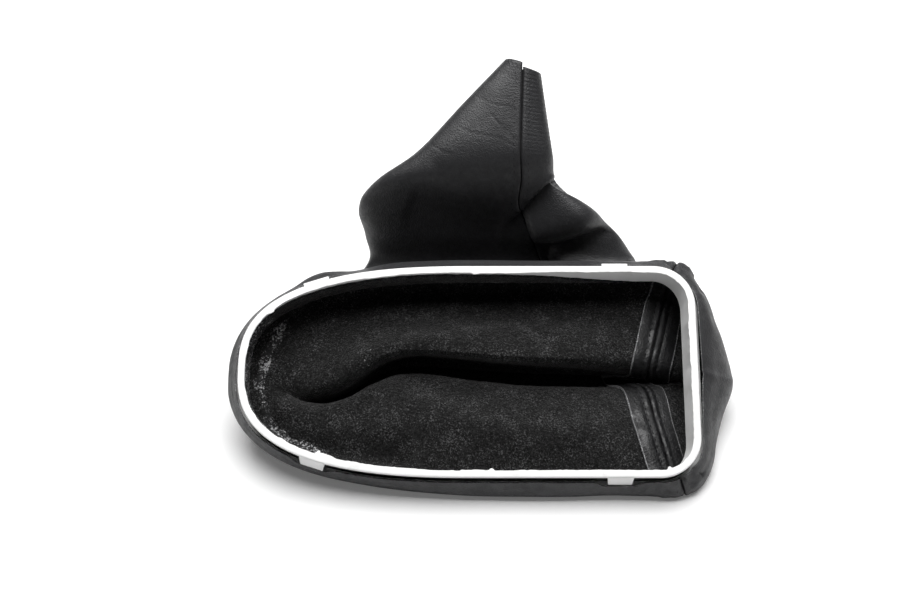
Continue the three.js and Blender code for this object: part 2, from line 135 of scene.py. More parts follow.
# The slit between the two lobes wanders: place along the frame, and shift to the back
slitLine = [
    (-82, -13), (-66, -12.5), (-56, -11), (-48, -7), (-40, -0.5), (-32, 4.4), (-24, 6), (-14, 5.5),
    (0, 3.4), (18, 1.2), (50, 0), (95, 0),
]
skirt = {"bulge": 12, "drop": 16, "span": 56, "rounding": 0.12}
ridge = {
    "reach": -9, "drop": 16, "bulgeShare": 0.7, "blend": 0.35, "farSag": 7,
    "near": {"place": 0.5, "rise": 4.5, "shift": -4}, "far": {"place": 0.8, "rise": 9, "shift": -11.5},
}
clipNotch = {"level": 0.85, "margin": 1, "blend": 3.5}
foldLoops = [  # loops of the folds that lie across the opening
    {"y": 14, "z": 15.5, "lean": 12, "far": 4.8, "near": 6.8, "nose": 26, "end": 1, "seams": (0.75, 0.745),
     "full": 1.9, "sway": 1, "droop": (1.5, 9)},
    {"y": 15.5, "z": 10.8, "lean": 20, "far": 4, "near": 3.8, "nose": 29, "end": -3, "seams": (0.67, 0.72),
     "full": 2, "sway": 0.8, "droop": (0, 2)},
    {"y": 20.5, "z": 6.6, "lean": 55, "far": 3.4, "near": 3.6, "nose": 31, "end": -7, "seams": (0.72, 0.75),
     "full": 2.6, "sway": 0.45},
    {"y": 39, "z": 4.8, "lean": 88, "far": 2.9, "near": 3.2, "nose": 33, "end": -11, "seams": (0.66, 0.74)},
    {"y": 63, "z": 7, "lean": 100, "far": 6, "near": 5, "nose": 35, "end": -15, "seams": (0.5, 0.68)},
]
sleeveLean = 45
sleeveLoops = [  # rise, front, back, nose, end, far seam, near seam, slope, tip
    (47, -67, -91, 51, -21.3, 0.3, 0.58, 0, 0),
    (58, -56, -86, 49.5, -28, 0.3, 0.56, 0, 0),
    (70, -44, -77, 47.5, -44, 0.42, 0.54, 0, 0),
    (81, -36, -70, 56.7, -56.4, 0.6, 0.5, 0, 0),
    (92, -32, -66, 73.3, -58.2, 0.52, 0.4, -1, 0),
    (112, -33.5, -61, 93.4, -61.1, 0.4, 0.3, -2, 0),
    (132.4, -36, -60, 112.7, -63.9, -0.07, -0.1, -2.2, 1),
]
plainFullness = 2.4
sleeveFullness = 5.5
tableSoftness = 0.3
halfLeather = leather["thick"] / 2
lowReach, lowDrop = rimLoops[3][:2]  # the loop that rests on the table along the near side
rimHeight = (halfWidth + lowReach) * math.sin(tilt) + lowDrop * math.cos(tilt) + halfLeather
cornerAlong = turnAtX(halfLength - frameSize["corner"]) * perimeter
seamTurn = (cornerAlong + frameSize["corner"] - leather["seamFromEnd"]) / perimeter
seams = {"near": seamTurn, "far": 1 - seamTurn}

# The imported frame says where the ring's centre stands: the near clips' outer corners are its
# lowest y, and the far clips' top corners are its highest z.
frameLow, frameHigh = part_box("clip_frame")
clipReach = halfWidth + clipSize["proud"]
ringCentre = np.array([
    (frameLow.x + frameHigh.x) / 2 / mm,
    frameLow.y / mm + clipReach * math.cos(tilt) - clipSize["below"] * math.sin(tilt),
    frameHigh.z / mm - clipReach * math.sin(tilt) + clipSize["below"] * math.cos(tilt),
])
tableShift = ringCentre - np.array([0, 0, rimHeight])
print("ring centre", ringCentre.round(3))


def smooth(x, low, high):
    t = np.clip((x - low) / (high - low), 0, 1)
    return t * t * (3 - 2 * t)


def hump(x, middle, halfSpan):
    return np.exp(-((x - middle) / halfSpan) ** 2)


def fromFrame(x, y, z):
    return np.stack([x, y * math.cos(tilt) - z * math.sin(tilt),
                     rimHeight + y * math.sin(tilt) + z * math.cos(tilt)], -1)


# A curve between two values with a slope at each, as t goes from 0 to 1 over the span h
def hermite(t, h, first, firstSlope, last, lastSlope):
    return ((2 * t ** 3 - 3 * t ** 2 + 1) * first + (t ** 3 - 2 * t ** 2 + t) * h * firstSlope
            + (3 * t ** 2 - 2 * t ** 3) * last + (t ** 3 - t ** 2) * h * lastSlope)


# A smooth curve through points of (place, value)
def curveThrough(points, x):
    at, value = np.array(points, float).T
    slope = np.gradient(value, at)
    i = np.clip(np.searchsorted(at, x, side="right") - 1, 0, len(at) - 2)
    h = at[i + 1] - at[i]
    t = np.clip((x - at[i]) / h, 0, 1)
    return hermite(t, h, value[i], slope[i], value[i + 1], slope[i + 1])


def rimLoop(turn, reach, drop, bulgeShare, dropShare, trimShare):
    x, y, nx, ny = outlineAt(turn)
    away = np.abs(np.mod(turn, 1.0) - 0.5) * perimeter / skirt["span"]
    r = skirt["rounding"]
    share = np.maximum(0, 1 - (np.hypot(away, r) - r) / (math.hypot(1, r) - r))
    trim = curveThrough(rimTrim, (np.mod(turn, 1.0) - 0.5) * perimeter)
    out = reach + bulgeShare * skirt["bulge"] * share + trimShare * trim
    return fromFrame(x + nx * out, y + ny * out, -drop - dropShare * skirt["drop"] * share)


# A flattened loop, with its far and near walls a little apart. Its seams' places go from -1 to 1.
def flatLoop(turn, fold):
    t = np.mod(turn, 1.0)
    near = t <= 0.5
    along = np.where(near, t, 1 - t) * 2
    farSeam, nearSeam = fold["seams"]
    atPart = np.where(near, math.acos(-nearSeam), math.acos(-farSeam)) / np.pi
    atSeam = seamTurn * 2
    beyond = atPart + (along - atSeam) / (1 - atSeam) * (1 - atPart)
    part = np.where(along <= atSeam, along / atSeam * atPart, beyond)
    place = -np.cos(np.pi * part)
    gape = np.sin(np.pi * np.clip(part, 0, 1)) ** (2 / fold.get("full", plainFullness))
    left, right = -halfLength + fold["nose"], halfLength + fold["end"]
    across = np.where(near, -fold["near"], fold["far"]) * gape
    x = (left + right) / 2 + (right - left) / 2 * place
    across = across + fold.get("sway", 0) * curveThrough(slitLine, x)
    droopLeft, droopRight = fold.get("droop", (0, 0))
    down = fold.get("slope", 0) * place + np.where(place < 0, droopLeft, droopRight) * place ** 2
    down = down + fold.get("tip", 0) * np.where(near, gape, -gape)
    lean = math.radians(fold["lean"])
    return np.stack([x, fold["y"] + math.cos(lean) * across + math.sin(lean) * down,
                     fold["z"] + math.sin(lean) * across - math.cos(lean) * down], -1)


def sleeveLoop(turn, section):
    rise, front, back, nose, end, farSeam, nearSeam, slope, tip = section
    a, middle, gap = math.radians(sleeveLean), (front + back) / 2, (front - back) / 2
    return flatLoop(turn, {
        "y": rise * math.sin(a) - middle * math.cos(a),
        "z": rimHeight + rise * math.cos(a) + middle * math.sin(a),
        "lean": 90 + sleeveLean, "far": gap, "near": gap, "nose": nose, "end": end,
        "seams": (farSeam, nearSeam), "slope": slope, "tip": tip, "full": sleeveFullness})


# The crest of the two lobes, between the leather under the frame and the first fold
def ridgeLoop(turn):
    inner = rimLoop(turn, ridge["reach"], ridge["drop"], ridge["bulgeShare"], 1, 0)
    side = np.sin(2 * np.pi * turn)
    share = smooth(side, -ridge["blend"], ridge["blend"])
    far, near = ridge["far"], ridge["near"]
    mixed = {key: far[key] + (near[key] - far[key]) * share for key in far}
    p = inner + (flatLoop(turn, foldLoops[0]) - inner) * mixed["place"][..., None]
    p[..., 2] += mixed["rise"] * np.abs(side) ** 0.7
    p[..., 1] += mixed["shift"] * np.abs(side)
    return p


def loopsAt(turn):
    turn = np.asarray(turn, float)
    loops = [rimLoop(turn, *r) for r in rimLoops] + [ridgeLoop(turn)]
    loops += [flatLoop(turn, f) for f in foldLoops] + [sleeveLoop(turn, s) for s in sleeveLoops]
    loops = np.stack(loops)
    loops[len(rimLoops) - 1, ..., 2] -= ridge["farSag"] * np.maximum(0, -np.sin(2 * np.pi * turn)) ** 0.6
    over = loops[..., 2] - halfLeather
    loops[..., 2] = halfLeather + (over + np.hypot(over, tableSoftness)) / 2
    return loops


sampleLoops = loopsAt((np.arange(60) + 0.5) / 60)
bandLengths = np.linalg.norm(np.diff(sampleLoops, axis=0), axis=-1).mean(-1)
knots = np.r_[0, np.cumsum(np.sqrt(bandLengths))]
lastLevel = len(knots) - 1


def notchShare(turn):
    t = np.abs(np.mod(turn + 0.5, 1.0) - 0.5)
    away = [np.abs(t - c) * perimeter - clipSize["width"] / 2 - clipNotch["margin"] for c in clipTurns]
    return np.maximum(*[1 - smooth(a, 0, clipNotch["blend"]) for a in away])


# The leather's middle surface: every turn at every level, 0 at the cut edge to the sleeve's mouth
def skinGrid(turns, levels):
    loops = loopsAt(turns)
    slopes = np.zeros_like(loops)
    before = np.diff(knots)[:-1, None, None]
    after = np.diff(knots)[1:, None, None]
    slopes[1:-1] = ((loops[1:-1] - loops[:-2]) / before * after
                    + (loops[2:] - loops[1:-1]) / after * before) / (before + after)
    slopes[0] = (loops[1] - loops[0]) / (knots[1] - knots[0])
    slopes[-1] = (loops[-1] - loops[-2]) / (knots[-1] - knots[-2])
    level = np.repeat(levels[:, None], len(turns), 1)
    dip = clipNotch["level"] * notchShare(turns)[None] * np.clip(1 - level / 2, 0, 1)
    level = np.minimum(level + dip, lastLevel)
    k = np.minimum(level.astype(int), lastLevel - 1)
    h = np.diff(knots)[k][..., None]
    j = np.arange(len(turns))[None]
    return hermite((level - k)[..., None], h, loops[k, j], slopes[k, j], loops[k + 1, j], slopes[k + 1, j])


def gridNormals(grid):
    down = np.gradient(grid, axis=0)
    n = np.cross(down, np.roll(grid, -1, 1) - np.roll(grid, 1, 1))
    return n / np.maximum(np.linalg.norm(n, axis=-1, keepdims=True), 1e-9)


# Rows lie closest together where the leather or the felt shows. One step a band, in millimetres.
skinFineness = {
    "turns": 1600,
    "steps": (0.8, 0.8, 0.8, 1, 1.3, 1.2, 1, 1.1, 1.6, 2.5, 3, 2.6, 1.6, 1, 0.8, 0.7, 0.6, 0.55),
}
skinTurns = np.arange(skinFineness["turns"]) / skinFineness["turns"]
rowCounts = np.maximum(2, np.ceil(bandLengths / skinFineness["steps"]).astype(int))
rowCounts[-1] += rowCounts.sum() % 2
skinLevels = np.concatenate([k + np.arange(c) / c for k, c in enumerate(rowCounts)] + [[lastLevel]])
skin = skinGrid(skinTurns, skinLevels)
skinNormals = gridNormals(skin)
levelGrid = np.repeat(skinLevels[:, None], len(skinTurns), 1)
turnGrid = np.repeat(skinTurns[None], len(skinLevels), 0)
print("leather surface", skin.shape)


# Signed distance along each row from a seam, in millimetres. The far end of each row is half a turn away.
def distanceFrom(turn, grid):
    half = len(skinTurns) // 2
    place = turn * len(skinTurns)
    start = int(place) - half
    rolled = np.roll(grid, -start, 1)
    step = np.linalg.norm(np.diff(rolled, axis=1), axis=-1)
    along = np.concatenate([np.zeros((len(grid), 1)), np.cumsum(step, 1)], 1)
    at = along[:, [half]] + (along[:, [half + 1]] - along[:, [half]]) * (place - int(place))
    return np.roll(along - at, start, 1)


seamDistance = {name: distanceFrom(turn, skin) for name, turn in seams.items()}

# The camera stands where the photograph was taken from
view = {
    "elevation": 45, "distance": 750, "aimX": -3.3, "aimRise": 25.9,
    "focal": 1818, "wide": 920, "high": 613,
}
viewAngle = math.radians(view["elevation"])
viewUp = np.array([0, math.sin(viewAngle), math.cos(viewAngle)])
viewBack = np.array([0, -math.cos(viewAngle), math.sin(viewAngle)])
aim = np.array([view["aimX"], 0, rimHeight]) + viewUp * view["aimRise"]
eye = aim + viewBack * view["distance"]


# Where a point of the surface shows in the photograph's 920 by 613 frame
def toPicture(points):
    rel = points - eye
    depth = -(rel @ viewBack)
    across = view["focal"] * rel[..., 0] / depth
    return view["wide"] / 2 + across, view["high"] / 2 - view["focal"] * (rel @ viewUp) / depth


def lattice(p, seed):
    i = np.floor(p).astype(np.int64)
    f = p - i
    f = f * f * (3 - 2 * f)
    total = 0
    for corner in range(8):
        o = [(corner >> k) & 1 for k in range(3)]
        h = (i[..., 0] + o[0]) * 73856093 ^ (i[..., 1] + o[1]) * 19349663 ^ (i[..., 2] + o[2]) * 83492791
        h = (h ^ (seed * 2654435)) & 0xffffffff
        h = ((h ^ (h >> 15)) * 2246822519) & 0xffffffff
        h = ((h ^ (h >> 13)) * 3266489917) & 0xffffffff
        w = np.prod([f[..., k] if o[k] else 1 - f[..., k] for k in range(3)], axis=0)
        total = total + w * ((h ^ (h >> 16)) & 0xffff) / 65535
    return total * 2 - 1


def noise(points, size, seed, octaves=3):
    total, amount, reach = 0, 0, 1.0
    for octave in range(octaves):
        total = total + reach * lattice(points / size * 2 ** octave + octave * 17.3, seed + octave)
        amount += reach
        reach *= 0.5
    return total / amount


# Distance to a polyline in the picture, in pixels, its side (left of its run is positive) and the
# share of its length at the nearest point
def lineDistance(px, py, line):
    best = np.full(px.shape, 1e9)
    side = np.zeros(px.shape)
    share = np.zeros(px.shape)
    lengths = [math.dist(a, b) for a, b in zip(line, line[1:])]
    done = 0
    for (ax, ay), (bx, by), length in zip(line, line[1:], lengths):
        dx, dy = (bx - ax) / length, (by - ay) / length
        along = np.clip((px - ax) * dx + (py - ay) * dy, 0, length)
        ox, oy = px - ax - along * dx, py - ay - along * dy
        d = np.hypot(ox, oy)
        closer = d < best
        best = np.where(closer, d, best)
        side = np.where(closer, np.sign(ox * dy - oy * dx), side)
        share = np.where(closer, (done + along) / sum(lengths), share)
        done += length
    return best, side, share


# Creases that the photograph shows, as lines in its frame. Heights are in millimetres towards the
# leather's face, so a crest seen on the felt is below zero. Widths and fades are in pixels.
creases = {  # height, half width, levels, turns, line
    "elbowLip": (0.5, 2.2, (12.6, 16.6), (0.5, 0.8), [(556, 173), (541, 185), (525, 202)]),
    "sleeveValley": (-4, 8, (11.5, 15), (0.5, 0.8),
                     [(622, 225), (592, 234), (570, 241), (550, 246), (528, 242)]),
    "footRidge": (13, 18, (10.6, 15), (0.5, 0.8), [(650, 260), (600, 264), (550, 268)]),
    "triangleSwell": (6, 17, (12, 16.4), (0.5, 0.8), [(622, 204), (590, 213), (557, 224), (526, 232)]),
    "footPuckerLeft": (-0.7, 1.7, (11.5, 14), (0.5, 0.8), [(541, 247), (549, 261)]),
    "footPuckerRight": (-0.8, 1.8, (11.5, 14), (0.5, 0.8), [(555, 248), (563, 260)]),
    "bulgeHollow": (-1.1, 18, (12, 16), (0.5, 1), [(404, 202), (446, 214), (505, 228)]),
    "bulgeTop": (0.9, 10, (12.5, 16.5), (0.5, 1), [(352, 200), (376, 186), (410, 176), (440, 172)]),
    "sleeveFlexOne": (-0.15, 1.3, (15, 18), (0.5, 1), [(489, 112), (502, 128), (518, 143)]),
    "sleeveFlexTwo": (-0.1, 1.2, (15, 18), (0.5, 1), [(474, 96), (492, 104), (515, 108)]),
    "sleeveFlexThree": (-0.09, 1.3, (15, 18), (0.5, 1), [(455, 124), (470, 133), (500, 138), (519, 149)]),
    "sleeveFlexFour": (-0.12, 1.4, (14.5, 18), (0.5, 1), [(420, 134), (436, 148), (452, 155)]),
    "lowerLobeCrest": (-2, 8, (5.3, 7.4), (0, 0.5),
                       [(272, 397), (291, 409), (327, 413), (356, 402), (372, 392), (410, 384)]),
    "lowerLobeHollow": (4.5, 22, (4.8, 7), (0, 0.5),
                        [(256, 420), (284, 438), (322, 449), (370, 457), (425, 464)]),
    "upperLobeCrest": (-1.3, 8, (5.2, 7.2), (0.5, 1),
                       [(330, 374), (368, 353), (420, 342), (480, 335), (540, 333), (640, 344)]),
    "lowerLobeSwell": (-1.4, 13, (5, 7), (0, 0.5),
                       [(372, 394), (425, 408), (480, 428), (540, 443), (610, 424)]),
    "farCornerOne": (-0.8, 2, (-0.5, 4), (0.5, 0.7), [(664, 260), (674, 270), (684, 276)]),
    "farCornerTwo": (0.9, 2.4, (-0.5, 4), (0.5, 0.7), [(676, 261), (686, 267), (695, 276)]),
    "farCornerThree": (-0.9, 1.8, (-0.5, 4), (0.5, 0.7), [(688, 270), (697, 280), (702, 296)]),
    "nearCornerOne": (-0.5, 1.8, (-0.5, 4), (0.3, 0.5), [(680, 474), (688, 480), (696, 484)]),
    "nearCornerTwo": (-0.8, 1.8, (-0.5, 4), (0.3, 0.5), [(690, 464), (697, 472), (704, 474)]),
    "nearCornerThree": (-0.5, 2, (-0.5, 4), (0.3, 0.5), [(655, 480), (664, 486), (672, 494)]),
    "skirtFold": (0.8, 4, (-0.5, 4), (0.4, 0.6), [(700, 372), (716, 379), (733, 383)]),
}
# The step in the sleeve's elbow: the leather to the left of its line's run is sunk by its height
elbowStep = {
    "height": -3, "wide": 1.3, "fade": 19, "levels": (12.6, 16.4), "turns": (0.5, 0.8),
    "line": [(555, 176), (541, 188), (525, 206)],
}
# How a crease dies out: at its levels' limits, at the limits of a narrow stretch of turns, and at the
# ends of its line
creaseFade = {"level": 0.5, "turn": 0.045, "narrow": 0.4, "end": 0.12, "stepStart": 0.1}


def creaseBlock(levels, turns):
    rows = np.flatnonzero((skinLevels > levels[0]) & (skinLevels < levels[1]))
    columns = np.flatnonzero((skinTurns >= turns[0]) & (skinTurns <= turns[1]))
    block = np.ix_(rows, columns)
    level, fade = levelGrid[block], creaseFade["level"]
    low, high = levels
    return block, smooth(level, low, low + fade) * (1 - smooth(level, high - fade, high))


def creaseHeights(points):
    px, py = toPicture(points)
    height = np.zeros(px.shape)
    e, end = elbowStep, creaseFade["end"]
    block, mask = creaseBlock(e["levels"], e["turns"])
    d, side, share = lineDistance(px[block], py[block], e["line"])
    shape = np.where(side > 0, np.exp(-(d / e["fade"]) ** 2), 0) * smooth(d, 0, e["wide"])
    ends = smooth(np.minimum(share, 1 - share) + creaseFade["stepStart"], 0, end)
    height[block] += e["height"] * shape * ends * mask
    for crest, wide, levels, turns, line in creases.values():
        block, mask = creaseBlock(levels, turns)
        d, _, share = lineDistance(px[block], py[block], line)
        if turns[1] - turns[0] < creaseFade["narrow"]:
            turn = turnGrid[block]
            mask = mask * smooth(np.minimum(turn - turns[0], turns[1] - turn), 0, creaseFade["turn"])
        ends = smooth(np.minimum(share, 1 - share), 0, end)
        height[block] += crest * np.exp(-(d / wide) ** 2) * ends * mask
    return height


# Slackness, gathers and flex wrinkles. Heights, pitches and spans are in millimetres, and so are the
# sizes that each noise is given before its seed and its octaves.
slack = {
    "band": 0.3, "skirt": 0.4, "gather": 0.3, "gatherSpan": 13, "gatherPitch": 4.6, "web": 0.03,
    "ribs": 0.06, "ribPitch": 2.1, "felt": 0.45, "sleeveSoft": 0.8, "seamRise": 0.55, "seamSpan": 3.6,
}


# Where the levels lie between a rise and a fall, each a pair of levels
def levelShare(rise, fall):
    return smooth(levelGrid, *rise) * (1 - smooth(levelGrid, *fall))


def slackness(points):
    around = turnGrid * perimeter
    down = np.interp(levelGrid, np.arange(lastLevel + 1), np.r_[0, np.cumsum(bandLengths)])
    wrap = np.stack([6 * np.cos(2 * np.pi * turnGrid), 6 * np.sin(2 * np.pi * turnGrid), down / 2], -1)
    onBand = levelShare((0.3, 1.2), (4, 5))
    height = slack["band"] * onBand * noise(wrap, 1.6, 3, 2)
    skirtShare = np.clip(1 - np.abs(turnGrid - 0.5) * perimeter / skirt["span"], 0, 1)
    streak = np.stack([around / 40, down / 3.6, np.zeros_like(down)], -1)
    height += slack["skirt"] * smooth(skirtShare, 0, 0.4) * onBand * noise(streak, 1, 11, 3)
    for name, distance in seamDistance.items():
        near = np.exp(-(distance / slack["gatherSpan"]) ** 2) * levelShare((0, 0.6), (2.2, 4.2))
        phase = 2 * np.pi * distance / slack["gatherPitch"] + 2.2 * noise(points, 9, 21 + len(name), 2)
        height += slack["gather"] * near * (0.6 * np.sin(phase) + 0.5 * noise(points, 5, 31, 2))
        height += slack["seamRise"] * np.exp(-(distance / slack["seamSpan"]) ** 2) * smooth(levelGrid, 11, 13)
    warp = points + 2.2 * noise(points, 9, 41, 2)[..., None]
    web = (1 - np.abs(noise(warp, 3.6, 43, 1))) ** 7 + 0.7 * (1 - np.abs(noise(warp, 2, 47, 1))) ** 6
    web = web * (0.45 + 0.55 * smooth(noise(points, 17, 53, 2), -0.3, 0.3))
    height -= slack["web"] * smooth(levelGrid, 13.5, 15.5) * web
    rib = np.sin(down * 2 * np.pi / slack["ribPitch"] + 2.5 * noise(points, 6, 51, 2))
    onRear = smooth(np.minimum(turnGrid - seamTurn, 1 - seamTurn - turnGrid), 0, 0.01)
    height += slack["ribs"] * smooth(levelGrid, 15.6, 16.4) * onRear * rib
    height += slack["sleeveSoft"] * levelShare((11, 12.5), (15.2, 16.4)) * noise(points, 26, 61, 2)
    height += slack["felt"] * levelShare((5, 6), (8, 9)) * noise(points, 14, 71, 3)
    return height


relief = slackness(skin) + creaseHeights(skin)
skin = skin + skinNormals * relief[..., None]
skin[..., 2] = np.maximum(skin[..., 2], halfLeather * 0.9)
skinNormals = gridNormals(skin)
seamDistance = {name: distanceFrom(turn, skin) for name, turn in seams.items()}
print("relief from", relief.min().round(2), "to", relief.max().round(2), "mm")


# Points and normals of the finished surface at fractional rows and turns
def onSkin(row, turn):
    row, turn = np.broadcast_arrays(np.asarray(row, float), np.asarray(turn, float))
    r = np.clip(row, 0, len(skin) - 1.0001)
    c = np.mod(turn, 1.0) * len(skinTurns)
    i, j = r.astype(int), c.astype(int)
    u, v = (r - i)[..., None], (c - j)[..., None]
    j, k = np.mod(j, len(skinTurns)), np.mod(j + 1, len(skinTurns))
    out = []
    for grid in (skin, skinNormals):
        out.append((1 - u) * ((1 - v) * grid[i, j] + v * grid[i, k])
                   + u * ((1 - v) * grid[i + 1, j] + v * grid[i + 1, k]))
    return out[0], unit(out[1])


# The turn on each row that lies at the given distances from a seam: rows by distances
def turnsFrom(seam, distances):
    gaps = seamDistance[seam]
    table = np.empty((len(gaps), len(distances)))
    half = len(skinTurns) // 2
    steps = int(seams[seam] * len(skinTurns)) + np.arange(-half, half)
    order = steps % len(skinTurns)
    turns = steps / len(skinTurns)
    for i, row in enumerate(gaps[:, order]):
        table[i] = np.interp(distances, row, turns)
    return table


def toPlace(points):
    return (points + tableShift) * mm


def meshPiece(name, points, faces, materials, slots=None, sharp=35):
    mesh = bpy.data.meshes.new(name)
    mesh.from_pydata(toPlace(points).reshape(-1, 3).tolist(), [], faces)
    for material in materials:
        mesh.materials.append(finishes[material])
    if slots is not None:
        mesh.polygons.foreach_set("material_index", np.asarray(slots, np.int32))
    mesh.polygons.foreach_set("use_smooth", np.ones(len(mesh.polygons), bool))
    mesh.update()
    mesh.validate()
    mesh.set_sharp_from_angle(angle=math.radians(sharp))
    piece = bpy.data.objects.new(name, mesh)
    bpy.context.scene.collection.objects.link(piece)
    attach(piece, "root")
    return piece


# Node groups that several finishes share
def newGroup(name, inputs, outputs):
    group = bpy.data.node_groups.new(name, "ShaderNodeTree")
    for label, value in inputs.items():
        socket = group.interface.new_socket(name=label, in_out="INPUT", socket_type="NodeSocketFloat")
        socket.default_value = value
    for label in outputs:
        group.interface.new_socket(name=label, in_out="OUTPUT", socket_type="NodeSocketFloat")
    return group, group.nodes.new("NodeGroupInput").outputs, group.nodes.new("NodeGroupOutput").inputs


# kind is the node's type without its prefix, and values are for its sockets or properties
def addNode(tree, kind, values=None, **links):
    node = tree.nodes.new("ShaderNode" + kind)
    for key, value in (values or {}).items():
        if key in node.inputs:
            node.inputs[key].default_value = value
        else:
            setattr(node, key, value)
    feed(tree, node, **links)
    return node


# Links sources to the sockets that the keywords name
def feed(tree, node, **sources):
    for key, source in sources.items():
        tree.links.new(source, node.inputs[key.replace("_", " ")])


def maths(tree, operation, a, b):
    node = addNode(tree, "Math", {"operation": operation})
    for socket, value in zip(node.inputs, (a, b)):
        if isinstance(value, (int, float)):
            socket.default_value = value
        else:
            tree.links.new(value, socket)
    return node.outputs[0]


def times(tree, a, b):
    return maths(tree, "MULTIPLY", a, b)


def plus(tree, a, b):
    return maths(tree, "ADD", a, b)


def ramp(tree, value, low, high, toLow=0.0, toHigh=1.0):
    limits = {"From Min": low, "From Max": high, "To Min": toLow, "To Max": toHigh}
    node = addNode(tree, "MapRange", {"interpolation_type": "SMOOTHSTEP", **limits}, Value=value)
    return node.outputs["Result"]


def grainGroup():
    group, given, out = newGroup("leatherGrain", {"Cells per metre": 1300, "Flex per metre": 260},
                                 ["Height", "Tone"])
    place = addNode(group, "TexCoord").outputs["Object"]
    warp = addNode(group, "TexNoise", {"Scale": 900, "Detail": 2}, Vector=place)
    shifted = addNode(group, "VectorMath", {"operation": "MULTIPLY_ADD"})
    group.links.new(warp.outputs["Color"], shifted.inputs[0])
    shifted.inputs[1].default_value = (0.0007, 0.0007, 0.0007)
    group.links.new(place, shifted.inputs[2])
    cells = addNode(group, "TexVoronoi", {"feature": "SMOOTH_F1", "Smoothness": 0.35},
                    Vector=shifted.outputs[0], Scale=given[0])
    flex = addNode(group, "TexNoise", {"Detail": 4, "Roughness": 0.62, "Distortion": 0.7},
                   Vector=place, Scale=given[1])
    pebble = ramp(group, cells.outputs["Distance"], 0.05, 0.75, 1, 0)
    folds = ramp(group, flex.outputs["Fac"], 0.3, 0.7)
    group.links.new(plus(group, times(group, pebble, 0.65), times(group, folds, 0.28)), out["Height"])
    group.links.new(folds, out["Tone"])
    return group


def fleckGroup():
    group, given, out = newGroup("lintFlecks", {"Flecks per metre": 1500, "Share": 0.35}, ["Mask", "Fuzz"])
    place = addNode(group, "TexCoord").outputs["Object"]
    fine = addNode(group, "TexNoise", {"Detail": 3, "Roughness": 0.75}, Vector=place, Scale=given[0])
    patches = addNode(group, "TexNoise", {"Scale": 130, "Detail": 3, "Roughness": 0.6}, Vector=place)
    level = maths(group, "SUBTRACT", 0.86, times(group, given[1], 0.55))
    crowd = ramp(group, patches.outputs["Fac"], 0.3, 0.7, -0.05, 0.07)
    lift = plus(group, fine.outputs["Fac"], crowd)
    over = times(group, maths(group, "SUBTRACT", lift, level), 7)
    group.links.new(addNode(group, "Clamp", Value=over).outputs[0], out["Mask"])
    group.links.new(fine.outputs["Fac"], out["Fuzz"])
    return group


def mottleGroup():
    group, given, out = newGroup("handledMottle", {"Patches per metre": 60}, ["Patches", "Scuffs"])
    place = addNode(group, "TexCoord").outputs["Object"]
    broad = addNode(group, "TexNoise", {"Detail": 5, "Roughness": 0.65}, Vector=place, Scale=given[0])
    stretch = addNode(group, "Mapping", {"Scale": (1.0, 0.18, 0.18)}, Vector=place)
    scuff = addNode(group, "TexNoise", {"Scale": 900, "Detail": 2}, Vector=stretch.outputs[0])
    group.links.new(ramp(group, broad.outputs["Fac"], 0.32, 0.68), out["Patches"])
    group.links.new(ramp(group, scuff.outputs["Fac"], 0.6, 0.75), out["Scuffs"])
    return group


shared = {"grain": grainGroup(), "fleck": fleckGroup(), "mottle": mottleGroup()}


def useGroup(tree, name, **values):
    spelt = {key.replace("_", " "): value for key, value in values.items()}
    return addNode(tree, "Group", {"node_tree": shared[name], **spelt}).outputs


def newMaterial(name, **sockets):
    material = bpy.data.materials.new(name)
    material.use_nodes = True
    tree = material.node_tree
    shader = tree.nodes["Principled BSDF"]
    for key, value in sockets.items():
        shader.inputs[key.replace("_", " ")].default_value = value
    return material, tree, shader


# A colour is a socket, a tuple, or one number for a grey
def mixColour(tree, factor, first, second):
    node = addNode(tree, "Mix", {"data_type": "RGBA"})
    sockets = [s for s in node.inputs if s.type == "RGBA"]
    for socket, value in zip(sockets, (first, second)):
        if hasattr(value, "is_linked"):
            tree.links.new(value, socket)
        else:
            colour = value if isinstance(value, tuple) else (value, value, value)
            socket.default_value = (*colour, 1)
    tree.links.new(factor, node.inputs[0])
    return next(s for s in node.outputs if s.type == "RGBA")


def bump(tree, shader, height, distance):
    node = addNode(tree, "Bump", {"Strength": 1.0, "Distance": distance}, Height=height)
    feed(tree, shader, Normal=node.outputs["Normal"])


leatherLook = {"dark": (0.009, 0.009, 0.0105), "light": (0.026, 0.026, 0.028), "rough": (0.56, 0.4),
               "cells": 1600, "patches": 70, "deep": 0.00012}


def leatherMaterial(look):
    material, tree, shader = newMaterial("blackLeather", Specular_IOR_Level=0.5, Sheen_Weight=0.04)
    grain = useGroup(tree, "grain", Cells_per_metre=look["cells"])
    mottle = useGroup(tree, "mottle", Patches_per_metre=look["patches"])
    tone = plus(tree, times(tree, grain["Tone"], 0.5), times(tree, mottle["Patches"], 0.5))
    feed(tree, shader, Base_Color=mixColour(tree, tone, look["dark"], look["light"]),
         Roughness=ramp(tree, tone, 0.1, 0.9, *look["rough"]))
    bump(tree, shader, grain["Height"], look["deep"])
    return material


# The turned-back allowances: the same leatherette, with smears of clear glue
strapLook = {"dark": (0.003, 0.003, 0.0034), "light": (0.011, 0.011, 0.012), "fleck": (0.1, 0.1, 0.105),
             "rough": (0.6, 0.42), "glue": 0.3, "fuzz": 0.8, "deep": 0.00018}


